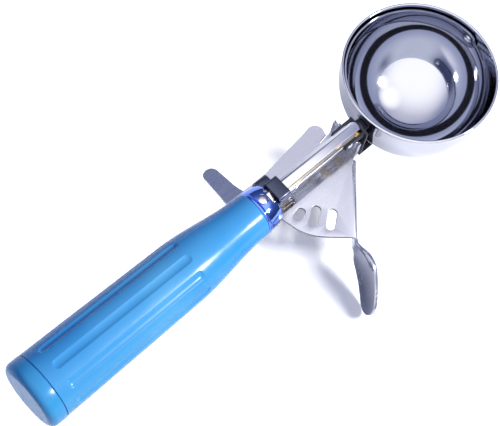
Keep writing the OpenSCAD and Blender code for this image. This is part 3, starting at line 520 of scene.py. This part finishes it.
def shank_section():
    """Channel open below, with a round ridge and a fold line along its right side, as (y, z) points."""
    half, bend, fold, ridge, soft = CHANNEL_W / 2, 0.8 * MM, 0.22 * MM, 1.1 * MM, 0.15 * MM
    left_lean, mid_lean, strip_lean = 0.70, 0.30, 0.45
    crown_start, crown_step = ridge + 1.44 * MM, 0.16 * MM

    def top(y):
        """Height of a roof with a round ridge and a steeper strip beyond the crease."""
        side = left_lean if y > ridge else mid_lean
        off = abs(y - ridge)
        drop = side * off * off / (off + soft)
        return CHANNEL_TOP - drop - (strip_lean - mid_lean) * max(CREASE_Y - y, 0)

    def corner(lean):
        """How far a round corner reaches in and up before it meets a roof of this slope, and its turn."""
        turn = 90 - math.degrees(math.atan(lean))
        return bend * math.cos(math.radians(turn)), bend * math.sin(math.radians(turn)), turn

    in_y, up, turn = corner(left_lean)
    left = circle_arc(half - bend, top(half - bend + in_y) - up, bend, 0, turn, 7)
    crown = [crown_start - crown_step * i for i in range(17)] + [CREASE_Y + 0.5 * MM, CREASE_Y + fold]
    line = [(CREASE_Y, top(CREASE_Y) - fold), (CREASE_Y - fold, top(CREASE_Y - fold))]
    in_y, up, turn = corner(strip_lean)
    right = circle_arc(bend - half, top(bend - half - in_y) - up, bend, 180 - turn, 180, 7)
    outer = [(half, CHANNEL_LOW)] + left + [(y, top(y)) for y in crown] + line + right
    wall, roof, slant = half - SHEET, CHANNEL_TOP - SHEET, 0.9 * MM
    low, high = roof - 1.3 * MM, roof - 0.3 * MM
    inner = [(-half, CHANNEL_LOW), (-wall, CHANNEL_LOW), (-wall, low), (slant - wall, high),
             (wall - slant, high), (wall, low), (wall, CHANNEL_LOW)]
    return outer + inner


def make_shank(material, strip):
    """Channel whose roof reaches past its walls with a round end. The strip beyond its crease is warmer."""
    along = Matrix(((0, 0, 1, TANG_X0), (1, 0, 0, 0), (0, 1, 0, 0), (0, 0, 0, 1)))
    channel = prism(shank_section(), WEB_X1 - TANG_X0, along)
    half, wide, over = CHANNEL_W / 2, 8 * MM, MM
    past_walls = box_mesh((WALL_X1, -wide, 0), (WEB_X1 + over, wide, CHANNEL_TOP - SHEET))
    end = WEB_X1 - half
    plan = [(TANG_X0 - over, -wide), (end, -wide), (end, -half)]
    plan += circle_arc(end, 0, half, -88, 88, 24)
    plan += [(end, half), (end, wide), (TANG_X0 - over, wide)]
    keep = prism(plan, CHANNEL_TOP + over, Matrix.Identity(4))
    mesh = worked(channel, [past_walls], keep, bevel=0.1 * MM, angle=40)
    obj = piece("shank_channel", mesh, "frame", ["shank"], material, sharp=24)
    obj.data.materials.append(strip)
    for p in obj.data.polygons:
        on_roof = p.normal.z > 0.6 and p.center.z > CHANNEL_TOP - 2 * SHEET
        if on_roof and p.center.y < CREASE_Y - 0.1 * MM:
            p.material_index = 1


# ---------------------------------------------------------------- spring

COIL_R, WIRE_R, COIL_LOW, COIL_HIGH, COIL_TURNS = 3.95 * MM, 0.55 * MM, -5.75 * MM, 0.3 * MM, 4.5
LOW_LEG_X, LOW_LEG_END, LOW_LEG_BEND = PIVOT_X + 6.2 * MM, -8.95 * MM, 0.9 * MM
HIGH_LEG_X, HIGH_LEG_BEND = PIVOT_X + 3.6 * MM, 0.7 * MM


def make_spring(material):
    """Coil round the pivot, with one leg down into the lever and one up to the channel's lower edge."""
    steps = int(COIL_TURNS * 36)
    coil = []
    for i in range(steps + 1):
        a = math.radians(-90 - 360 * COIL_TURNS * i / steps)
        coil.append(Vector((PIVOT_X + COIL_R * math.cos(a), COIL_R * math.sin(a),
                            COIL_LOW + (COIL_HIGH - COIL_LOW) * i / steps)))
    low = rounded([(LOW_LEG_X, -COIL_R, LOW_LEG_END), (LOW_LEG_X, -COIL_R, COIL_LOW), coil[0]], LOW_LEG_BEND)
    high = rounded([coil[-1], (HIGH_LEG_X, COIL_R, COIL_HIGH), (HIGH_LEG_X, COIL_R, CHANNEL_LOW)],
                   HIGH_LEG_BEND)
    mesh = sweep(low[:-1] + coil + high[1:], WIRE_R)
    piece("spring_wire", mesh, "frame", ["return_spring"], material, sharp=60)


# ---------------------------------------------------------------- lever

PLATE_T, PLATE_BEVEL = PLATE_TOP - PLATE_LOW, 0.12 * MM
SECTOR_R, RACK_RANGE, PINION_TEETH, PRESSURE_ANGLE = 39 * MM, (-7.5, 12.3), 8, math.radians(30)
RACK_BEND_R, PITCH_R = SECTOR_R - PLATE_T, (SECTOR_R - PLATE_T / 2) / GEAR_RATIO
FLANGE_TURN, FLANGE_R, FLANGE_BEND_R, FLANGE_DEPTH = math.radians(-43.7), 31.2 * MM, 1.5 * MM, 7.2 * MM
FLANGE_U = (-20.5 * MM, 10.8 * MM)
# The bent edges stand this much proud of the flat sheet, so that no two faces lie in one plane
PROUD = 0.004 * MM
# Holes, hub, tail and press, in mm
SLOTS = (((4.1, -9.1), (6.1, -8.5)), ((6.7, -14.3), (11.1, -11.5)), ((10.6, -19.4), (14.8, -16.2)))
SLOT_HALF, HUB_R, HUB_HOLE_R = 1.75, 3.9, 2.42
# The slot that the spring's leg passes along while the lever turns
LEG_SLOT, LEG_SLOT_HALF = ((6.2, -3.95), (6.86, -2.63)), 0.75
TAIL_ROOT, TAIL_HALF, TAIL_LEN, TAIL_TIP_R, TAIL_SHIFT = (-8.3, 11.3), 4.0, 17.8, 3.0, 1.3
TAIL_SLOPE = math.radians(20)
PRESS_ROOT, PRESS_BODY, PRESS_TIP = 10.4, 30.0, 36.1
PRESS_CROWN, PRESS_MIDDLE, PRESS_CURVE_R, PRESS_INSET = 9.4, 44.3, 55.0, -0.6
PRESS_LEAN, PRESS_LEAN_RUN = math.radians(19), 5.0


def sheet(outline, holes=()):
    """Flat sheet from closed loops in mm, its top at z = 0, with rounded edges."""
    curve = bpy.data.curves.new("sheet", "CURVE")
    curve.dimensions, curve.fill_mode, curve.offset = "2D", "BOTH", -PLATE_BEVEL
    curve.extrude, curve.bevel_depth, curve.bevel_resolution = PLATE_T / 2 - PLATE_BEVEL, PLATE_BEVEL, 2
    for loop in [outline, *holes]:
        spline = curve.splines.new("POLY")
        spline.points.add(len(loop) - 1)
        for p, (x, y) in zip(spline.points, loop):
            p.co = (x * MM, y * MM, 0, 1)
        spline.use_cyclic_u = True
    mesh = evaluated(bpy.data.objects.new("sheet", curve))
    mesh.transform(Matrix.Translation((0, 0, -PLATE_T / 2)))
    return mesh


def joined(meshes):
    """One mesh from several, with the points that meet merged."""
    bm = bmesh.new()
    for m in meshes:
        bm.from_mesh(m)
    bmesh.ops.remove_doubles(bm, verts=bm.verts, dist=TINY)
    out = bpy.data.meshes.new("joined")
    bm.to_mesh(out)
    bm.free()
    return out


def polar(r, degrees):
    """Point in a plane at a distance and a bearing from the pivot."""
    a = math.radians(degrees)
    return (r * math.cos(a), r * math.sin(a))


def smooth_line(points, steps=6):
    """Catmull-Rom curve through the points."""
    p = [points[0]] + list(points) + [points[-1]]
    out = []
    for a, b, c, d in zip(p, p[1:], p[2:], p[3:]):
        for i in range(steps):
            t = i / steps
            out.append(tuple(0.5 * (2 * b[k] + (c[k] - a[k]) * t
                                    + (2 * a[k] - 5 * b[k] + 4 * c[k] - d[k]) * t * t
                                    + (3 * b[k] - a[k] - 3 * c[k] + d[k]) * t ** 3) for k in (0, 1)))
    return out + [points[-1]]


def slot_loop(a, b, half):
    """Outline of a slot with round ends about two points."""
    turn = math.degrees(math.atan2(b[1] - a[1], b[0] - a[0]))
    return circle_arc(*b, half, turn - 90, turn + 90, 14) + circle_arc(*a, half, turn + 90, turn + 270, 14)


def plate_loop():
    """Outline of the lever's flat part about its pivot, in mm, up to the lines of its bends."""
    bend_n = (FLANGE_R - FLANGE_BEND_R) / MM
    turn = math.degrees(FLANGE_TURN)

    def on_bend(u):
        """Point along the line where the right edge bends down."""
        n, side = polar(bend_n, turn), polar(u, turn - 90)
        return (n[0] + side[0], n[1] + side[1])

    front_r, over = RACK_BEND_R / MM, 0.1
    rear = smooth_line([(12.9, -27.1), (7.3, -22.2), (3.3, -17.9), (0.8, -13.2), (-0.3, -8.9), (-1.7, -3.6)])
    hub = circle_arc(0, 0, HUB_R, 245, 165, 10)
    inner = smooth_line([(-3.9, 3.3), (-7.3, 6.5), (-12.2, 8.6), (-12.6, 11.3)], 4)
    tail = [(TAIL_ROOT[0] + TAIL_HALF + over, TAIL_ROOT[1])]
    left = smooth_line([(0.0, 11.2), (3.7, 10.8), (9.3, 11.5), (20.0, 12.85), (28.0, 13.9), (31.9, 14.5)])
    paddle = circle_arc(32.4, 11.15, 3.4, 96, -36, 16) + [(35.1, 8.3)]
    slit = [polar(32.0, 13.7), polar(31.7, 13.2), polar(32.0, 12.7), polar(front_r, RACK_RANGE[1] + over)]
    front = [polar(front_r, a) for a in (10, 6, 2, -2, -6, RACK_RANGE[0] - over)]
    flange = [on_bend(FLANGE_U[0] / MM + over), on_bend(FLANGE_U[1] / MM)]
    return rear + hub + inner + tail + left + paddle + slit + front + flange


def toothed_wall():
    """Wall bent up along the front edge, with the rack's teeth along its top."""
    module = 2 * PITCH_R / PINION_TEETH
    add, tip_gap, slack, lap = 0.8 * module, 0.12 * MM, 0.03 * MM, 0.3 * MM
    root_z, tip_z = SHAFT_Z - PITCH_R - add - tip_gap, SHAFT_Z - PITCH_R + add
    gap_half, flank = math.pi * module / 4 + slack, math.tan(PRESSURE_ANGLE)
    root_half, tip_half = gap_half - (add + tip_gap) * flank, gap_half + add * flank
    step = 360 / (PINION_TEETH * GEAR_RATIO)
    stations = [(RACK_RANGE[0], tip_z)]
    for i in range(math.floor(RACK_RANGE[0] / step), math.floor(RACK_RANGE[1] / step) + 1):
        for off, z in ((-tip_half, tip_z), (-root_half, root_z), (root_half, root_z), (tip_half, tip_z)):
            a = (i + 0.5) * step + math.degrees(off / SECTOR_R)
            if stations[-1][0] < a < RACK_RANGE[1]:
                stations.append((a, z))
    stations.append((RACK_RANGE[1], stations[-1][1]))
    bend = circle_arc(RACK_BEND_R, PLATE_TOP, PLATE_T + PROUD, -90, 0, 8)
    bm = bmesh.new()
    rings = []
    for a, z in stations:
        section = [(RACK_BEND_R - lap, PLATE_TOP + PROUD), (RACK_BEND_R - lap, PLATE_LOW - PROUD)]
        section += bend + [(SECTOR_R, z), (RACK_BEND_R, z), (RACK_BEND_R, PLATE_TOP + PROUD)]
        rings.append([bm.verts.new((*polar(r, a), h)) for r, h in section])
    for low, high in zip(rings, rings[1:]):
        for i in range(len(low)):
            j = (i + 1) % len(low)
            bm.faces.new((low[i], low[j], high[j], high[i]))
    bm.faces.new(rings[0])
    bm.faces.new(rings[-1][::-1])
    return worked(to_mesh(bm), bevel=0.07 * MM, angle=50)


def bent_edge():
    """Edge bent down along the right side."""
    lap, n0, mid = 0.4 * MM, FLANGE_R - FLANGE_BEND_R, -FLANGE_BEND_R
    outer = circle_arc(n0, mid, FLANGE_BEND_R + PROUD, 90, 0, 12)
    inner = circle_arc(n0, mid, FLANGE_BEND_R - PLATE_T, 0, 90, 6)
    section = [(n0 - lap, -PLATE_T - PROUD), (n0 - lap, PROUD)] + outer
    section += [(FLANGE_R + PROUD, -FLANGE_DEPTH), (FLANGE_R - PLATE_T, -FLANGE_DEPTH)] + inner
    along = Matrix(((1, 0, 0, 0), (0, 0, -1, -FLANGE_U[0]), (0, 1, 0, PLATE_TOP), (0, 0, 0, 1)))
    mesh = worked(prism(section, FLANGE_U[1] - FLANGE_U[0], along), bevel=PLATE_BEVEL, angle=50)
    mesh.transform(Matrix.Rotation(FLANGE_TURN, 4, "Z"))
    return mesh


def height_at(line, u):
    """Height of an outline at a place along it."""
    for (u0, z0), (u1, z1) in zip(line, line[1:]):
        if u <= u1:
            return z0 + (z1 - z0) * (u - u0) / (u1 - u0)
    return line[-1][1]


def thumb_press():
    """Leaf-shaped press, a piece of a wide curved shell on a narrow neck. Its lower edge leans inwards."""
    tip = (PRESS_TIP, -16.3)
    upper = smooth_line([(PRESS_ROOT, -9.0), (12, -8.7), (14.2, -8.1), (15.7, -6.9), (17.6, -5.8), (20, -5.3),
                         (22.6, -5.65), (27.6, -8.6), (32.6, -11.6), (34.8, -13.2), (35.9, -15.0), tip])
    lower = smooth_line([(PRESS_ROOT, -12.6), (12, -12.8), (14.0, -13.3), (15.6, -14.8), (17.4, -16.2),
                         (22, -18.0), (28.5, -20.5), (31.2, -21.2), (33.8, -20.5), (35.6, -18.6), tip])
    along, to_tip, across, hinge_z = 50, 26, 14, PLATE_LOW - PLATE_T
    us = [PRESS_ROOT + (PRESS_BODY - PRESS_ROOT) * i / along for i in range(along + 1)]
    us += [PRESS_TIP - (PRESS_TIP - PRESS_BODY) * (1 - i / to_tip) ** 2 for i in range(1, to_tip)]
    bm = bmesh.new()
    rows = []
    for u in us:
        low, high = height_at(lower, u), height_at(upper, u)
        arch = PRESS_CROWN - PRESS_CURVE_R + math.sqrt(PRESS_CURVE_R ** 2 - (u - PRESS_MIDDLE) ** 2)
        out = max(arch, PRESS_INSET) * MM
        lean = PRESS_LEAN * min((u - PRESS_ROOT) / PRESS_LEAN_RUN, 1)
        row = []
        for k in range(across + 1):
            dz = (low + (high - low) * k / across) * MM - hinge_z
            x = FLANGE_R + out * math.cos(lean) + dz * math.sin(lean)
            row.append(bm.verts.new((x, -u * MM, hinge_z - out * math.sin(lean) + dz * math.cos(lean))))
        rows.append(row)
    for a, b in zip(rows, rows[1:]):
        for k in range(across):
            bm.faces.new((a[k], a[k + 1], b[k + 1], b[k]))
    leaf = bpy.data.objects.new("leaf", to_mesh(bm))
    solid = leaf.modifiers.new("solid", "SOLIDIFY")
    solid.thickness, solid.offset = PLATE_T, 0
    add_bevel(leaf, 0.2 * MM, 3, 60)
    mesh = evaluated(leaf)
    mesh.transform(Matrix.Rotation(FLANGE_TURN, 4, "Z"))
    return mesh


def tail_sheet():
    """Tongue that bends down behind the plate, left of the handle."""
    straight = TAIL_LEN - TAIL_TIP_R
    loop = [(-TAIL_HALF, -0.3), (TAIL_HALF, -0.3), (TAIL_HALF * 0.95, 2.4), (TAIL_HALF * 0.92, 3.6)]
    loop += circle_arc(TAIL_SHIFT, straight, TAIL_TIP_R, -4, 184, 18)
    loop += [(-TAIL_HALF * 0.88, 3.6), (-TAIL_HALF * 0.93, 2.4)]
    mesh = sheet(loop)
    down = Matrix.Rotation(-TAIL_SLOPE, 4, "X") @ Matrix.Translation((0, 0, PLATE_T / 2))
    at = Matrix.Translation((TAIL_ROOT[0] * MM, TAIL_ROOT[1] * MM, PLATE_TOP - PLATE_T / 2))
    mesh.transform(at @ down)
    return mesh


def make_lever(material, edge):
    """Stamped lever in three pieces: the sheet with its bent edges and press, the left wing and the tail."""
    holes = [slot_loop(a, b, SLOT_HALF) for a, b in SLOTS]
    holes += [circle_arc(0, 0, HUB_HOLE_R, 0, 350, 35), slot_loop(*LEG_SLOT, LEG_SLOT_HALF)]
    flat = sheet(plate_loop(), holes)
    flat.transform(Matrix.Translation((0, 0, PLATE_TOP)))
    left, right = split_along_x(flat)
    whole = joined([right, toothed_wall(), bent_edge(), thumb_press()])
    for name, part in (("lever_sheet", whole), ("lever_wing", left), ("lever_tail", tail_sheet())):
        part.transform(Matrix.Translation((PIVOT_X, 0, 0)))
        obj = piece(name, part, "lever", ["lever_plate"], material, sharp=48)
        # The cut sides get the darker finish, which is partly painted shade.
        sheared_edges(obj.data, edge)


def split_along_x(mesh):
    """The parts of a mesh on the left and on the right of the shank's middle, capped at the cut."""
    parts = []
    for side in (1, -1):
        bm = bmesh.new()
        bm.from_mesh(mesh)
        everything = list(bm.verts) + list(bm.edges) + list(bm.faces)
        cut = bmesh.ops.bisect_plane(bm, geom=everything, plane_co=(0, 0, 0), plane_no=(0, side, 0),
                                     clear_inner=True)
        edges = [e for e in cut["geom_cut"] if isinstance(e, bmesh.types.BMEdge)]
        bmesh.ops.contextual_create(bm, geom=edges)
        part = bpy.data.meshes.new("part")
        bm.to_mesh(part)
        bm.free()
        parts.append(part)
    return parts


def sheared_edges(mesh, edge):
    """Gives the cut sides of the flat sheet their darker and rougher finish; the darkness is partly the sheared
    steel's own and partly painted shade for the dark that these thin edges reflect.
    """
    margin = 0.01 * MM
    mesh.materials.append(edge)
    for p in mesh.polygons:
        if abs(p.normal.z) < 0.3 and PLATE_LOW - margin < p.center.z < PLATE_TOP + margin:
            p.material_index = 1


# ---------------------------------------------------------------- bowl

BOWL_R, BOWL_WALL, BOWL_COLLAR, LIP_R = 57.15 * MM / 2, 0.7 * MM, RIM_Z - SHAFT_Z, 0.55 * MM


def make_bowl(material):
    """Hemisphere with a short upright collar and a round turned lip."""
    outside, steps = BOWL_R + BOWL_WALL, 64
    collar = [BOWL_COLLAR * share for share in (0.15, 0.4, 0.7)]

    def wall(r):
        """Quarter circle from the bottom up, then the collar, as (height, radius) points."""
        angles = [math.pi / 2 * i / steps for i in range(steps + 1)]
        return [(-r * math.cos(a), r * math.sin(a)) for a in angles] + [(h, r) for h in collar]

    lip = circle_arc(BOWL_COLLAR - LIP_R, outside - LIP_R / 2, LIP_R, -48, 140, 16)
    lip = [(h, r) for h, r in lip if r > BOWL_R]
    mesh = lathe(wall(BOWL_R) + lip + wall(outside)[::-1], turns=288)
    up = Matrix.Rotation(-math.pi / 2, 4, "Y")
    mesh.transform(Matrix.Translation((BOWL_X, 0, SHAFT_Z)) @ up)
    piece("bowl_shell", mesh, "frame", ["bowl"], material, sharp=40)


def make_knob(material):
    """The front bearing: a short dark knob with broken edges, a thin waist and a spigot."""
    x0, x1, r, bore_r = KNOB_X0, KNOB_X0 + 2.3 * MM, 2.7 * MM, 1.45 * MM
    edge, waist_r, spigot_r, spigot = 0.3 * MM, 2.45 * MM, 2.0 * MM, 0.7 * MM
    half = [(0, r - edge), (edge / 3, r - edge / 3), (edge, r), (0.8 * MM, r), (0.95 * MM, waist_r)]
    points = [(x0, bore_r)] + [(x0 + dx, q) for dx, q in half] + [(x1 - dx, q) for dx, q in half[::-1]]
    points += [(x1, spigot_r), (x1 + spigot, spigot_r), (x1 + spigot, bore_r), (x0, bore_r)]
    mesh = lathe(points, turns=72)
    mesh.transform(Matrix.Translation((0, 0, SHAFT_Z)))
    piece("knob_front", mesh, "frame", ["shaft_bush_front"], material)


def make_pieces(f):
    """All the pieces. The last seven are CAD shapes with softened edges."""
    make_grip(f["grip"])
    make_cap(f["cap"])
    make_ferrule(f["painted_reflection_chrome"])
    make_ferrule_rivet(f["bright"])
    make_shank(f["satin"], f["warm"])
    make_spring(f["wire"])
    make_lever(f["plate"], f["sheared_and_shaded"])
    make_bowl(f["mirror"])
    make_knob(f["black_and_painted_shade"])
    softened("pivot_bracket", "bracket_strap", "frame", f["strap"], 0.15 * MM)
    # The saddle is near black as painted shade for the shadowed hollow under the shank's end.
    softened("bowl_saddle", "saddle_sheet", "frame", f["black_and_painted_shade"], 0.15 * MM)
    softened("scraper_blade", "blade_band", "scraper", f["blade"], 0.12 * MM)
    softened("scraper_shaft", "shaft_rod", "scraper", f["satin"], 0.15 * MM)
    softened("shaft_collar", "collar_ring", "scraper", f["satin"], 0.12 * MM)
    softened("pinion", "pinion_gear", "scraper", f["brass"], 0.06 * MM)
    softened("shaft_bush_rear", "rear_bearing", "frame", f["bronze"], 0.12 * MM)


# ---------------------------------------------------------------- floor and light

# The table's height at TABLE_X, its slopes along X and along Y, and half its width
TABLE_Z, TABLE_X, TABLE_SLOPE, TABLE_ROLL, TABLE_HALF = -13.16 * MM, 3.0 * MM, -0.0745, 0.051, 3.0
# Round shades on the floor: x, y, inner and outer radius, share inside and share outside
BOWL_SHADE = (BOWL_X - 24 * MM, 10 * MM, 24 * MM, 46 * MM, 0.72, 0.12)
PRESS_SHADE = (117 * MM, -36 * MM, 19 * MM, 30 * MM, 1.0, 0.0)
BOWL_CONTACT = (165 * MM, -6 * MM, 4 * MM, 21 * MM, 0.66, 0.0)
CAP_CONTACT = (-3 * MM, 4 * MM, 3 * MM, 15 * MM, 0.5, 0.0)


def floor_material():
    """White tabletop, which reflections, soft light and the camera each see a little differently."""
    s = Shade("floor_white")
    path = s.node("LightPath")

    def shade(x, y, inner, outer, high, low):
        """Share of shade around a place on the floor."""
        away = s.vector_math("LENGTH", s.place(at=(-x, -y, 0)))
        return s.spread(away, inner, outer, high, low)

    def seen_by(ray, share):
        """The share, for one kind of ray only."""
        return s.math("MULTIPLY", path.outputs[f"Is {ray} Ray"], share)

    # Only reflections see the dark areas under the bowl and the press
    mirrored = seen_by("Glossy", s.math("MAXIMUM", shade(*BOWL_SHADE), shade(*PRESS_SHADE)))
    # Diffuse rays see a dim floor, so that little of its glare colours the plastic
    dim = s.math("MAXIMUM", mirrored, seen_by("Diffuse", 0.85))
    # Only the camera sees the soft shade where the bowl and the cap rest on the table
    contact = s.math("MAXIMUM", shade(*BOWL_CONTACT), shade(*CAP_CONTACT))
    dim = s.math("MAXIMUM", dim, seen_by("Camera", contact))
    s.colour(s.ramp(dim, [(0.0, (0.93, 0.93, 0.93)), (0.85, (0.157, 0.165, 0.216)),
                          (1.0, (0.055, 0.075, 0.18))]))
    s.bsdf.inputs["Roughness"].default_value = 0.75
    s.bsdf.inputs["Specular IOR Level"].default_value = 0.2
    s.bsdf.inputs["Emission Color"].default_value = (1.0, 0.96, 0.86, 1)
    s.link(seen_by("Camera", 0.20), s.bsdf.inputs["Emission Strength"])
    return s.mat


def make_floor():
    """Tabletop that the cap and the bowl rest on, rolled so that the press clears it."""
    mesh = bpy.data.meshes.new("floor")
    corners = [(x, y, TABLE_Z + TABLE_SLOPE * (x - TABLE_X) + TABLE_ROLL * y)
               for x, y in ((-TABLE_HALF, -TABLE_HALF), (TABLE_HALF, -TABLE_HALF),
                            (TABLE_HALF, TABLE_HALF), (-TABLE_HALF, TABLE_HALF))]
    mesh.from_pydata(corners, [], [(0, 1, 2, 3)])
    floor = bpy.data.objects.new("floor", mesh)
    bpy.context.scene.collection.objects.link(floor)
    mesh.materials.append(floor_material())
    return floor


LIGHT_DISTANCE, LIGHT_AIM = 1.2, Vector((100 * MM, 0, 0))


def area(name, direction, size, power, colour=(1, 1, 1)):
    """Square light at a fixed distance, facing the scoop's middle."""
    data = bpy.data.lights.new(name, "AREA")
    data.shape = "RECTANGLE"
    data.size, data.size_y = size, size
    data.energy, data.color = power, colour
    light = bpy.data.objects.new(name, data)
    light.location = LIGHT_AIM + direction * LIGHT_DISTANCE
    light.rotation_euler = direction.to_track_quat("Z", "Y").to_euler()
    bpy.context.scene.collection.objects.link(light)
    return light


def towards(azimuth, elevation):
    """Direction with a length of 1, angles in degrees."""
    a, e = math.radians(azimuth), math.radians(elevation)
    return Vector((math.cos(a) * math.cos(e), math.sin(a) * math.cos(e), math.sin(e)))


# The colour sockets of a Mix node, which share their names with others
MIX_A, MIX_B, MIX_RESULT = 6, 7, 2


class Sky(Tree):
    """The studio's walls and ceiling, as a colour for each direction."""

    def __init__(self):
        world = bpy.data.worlds.new("studio")
        bpy.context.scene.world = world
        world.use_nodes = True
        super().__init__(world.node_tree)
        self.direction = self.vector_math("NORMALIZE", self.coord.outputs["Generated"], out="Vector")
        self.path = self.node("LightPath")
        self.colour = None

    def heights(self, stops):
        """Colours by the sine of the elevation, from the horizon at 0 up to 1."""
        split = self.node("SeparateXYZ")
        self.link(self.direction, split.inputs["Vector"])
        self.colour = self.ramp(split.outputs["Z"], stops)

    def lay(self, share, rgb):
        """Lays a colour over the sky where the share is 1."""
        mix = self.node("Mix")
        mix.data_type = "RGBA"
        self.link(share, mix.inputs["Factor"])
        self.link(self.colour, mix.inputs[MIX_A])
        mix.inputs[MIX_B].default_value = (*rgb, 1)
        self.colour = mix.outputs[MIX_RESULT]

    def patch(self, centre, radius, soft, rgb, reflections=0):
        """A round panel with a soft edge, in degrees. A ray sees it only after this many reflections."""
        dot = self.vector_math("DOT_PRODUCT", self.direction, centre)
        outer, inner = (math.cos(math.radians(a)) for a in (radius + soft, max(radius - soft, 0)))
        share = self.spread(dot, outer, inner, how="SMOOTHSTEP")
        if reflections:
            # The depth of a ray that reaches the sky is one more than its reflections
            late = self.math("GREATER_THAN", self.path.outputs["Ray Depth"], reflections + 0.5)
            share = self.math("MULTIPLY", share, late)
        self.lay(share, rgb)

    def soft_light(self, rgb):
        """The even colour that the sky gives to surfaces that aren't glossy."""
        self.lay(self.path.outputs["Is Diffuse Ray"], rgb)

    def done(self):
        self.link(self.colour, self.tree.nodes["Background"].inputs["Color"])


def link_light(light, lit=None, blockers=None):
    """Limits what a light shines on, and what casts its shadows."""
    for part, objects in (("receiver_collection", lit), ("blocker_collection", blockers)):
        if objects is not None:
            group = bpy.data.collections.new(f"{light.name}_{part}")
            for o in objects:
                group.objects.link(o)
            setattr(light.light_linking, part, group)


def make_light(floor):
    """The sky, a light for the table, whose shadow only the lever's sheet casts, and one for the part."""
    sky = Sky()
    sky.heights([(0.0, (0.10, 0.11, 0.16)), (0.25, (0.12, 0.14, 0.24)), (0.55, (0.18, 0.23, 0.43)),
                 (0.8, (0.70, 0.70, 0.86)), (1.0, (0.85, 0.85, 0.98))])
    beyond, lamp = towards(60, 30), towards(-38, 60)
    over_camera, camera_spot = towards(-150, 52), towards(-155, 59)
    sky.patch(beyond, 46, 18, (1.05, 1.10, 1.22), reflections=2)
    sky.patch(over_camera, 46, 26, (1.5, 1.5, 1.55))
    sky.patch(lamp, 11, 10, (1.6, 1.6, 1.65))
    sky.patch(over_camera, 46, 26, (0.62, 0.68, 0.92), reflections=2)
    sky.patch(camera_spot, 16, 2, (0.02, 0.02, 0.03), reflections=2)
    sky.soft_light((0.12, 0.15, 0.34))
    sky.done()
    parts = [o for o in bpy.data.objects if o.type == "MESH" and o is not floor]
    table = area("table_light", towards(-41, 38), 0.42, 23.0)
    link_light(table, [floor], [o for o in parts if o.name == "lever_sheet"])
    key = area("key", towards(-58, 40), 0.15, 15.0, (1.0, 0.99, 0.97))
    link_light(key, parts)
    bpy.context.scene.view_settings.view_transform = "Standard"


make_camera()
FLOOR = make_floor()
make_pieces(make_finishes())
make_light(FLOOR)
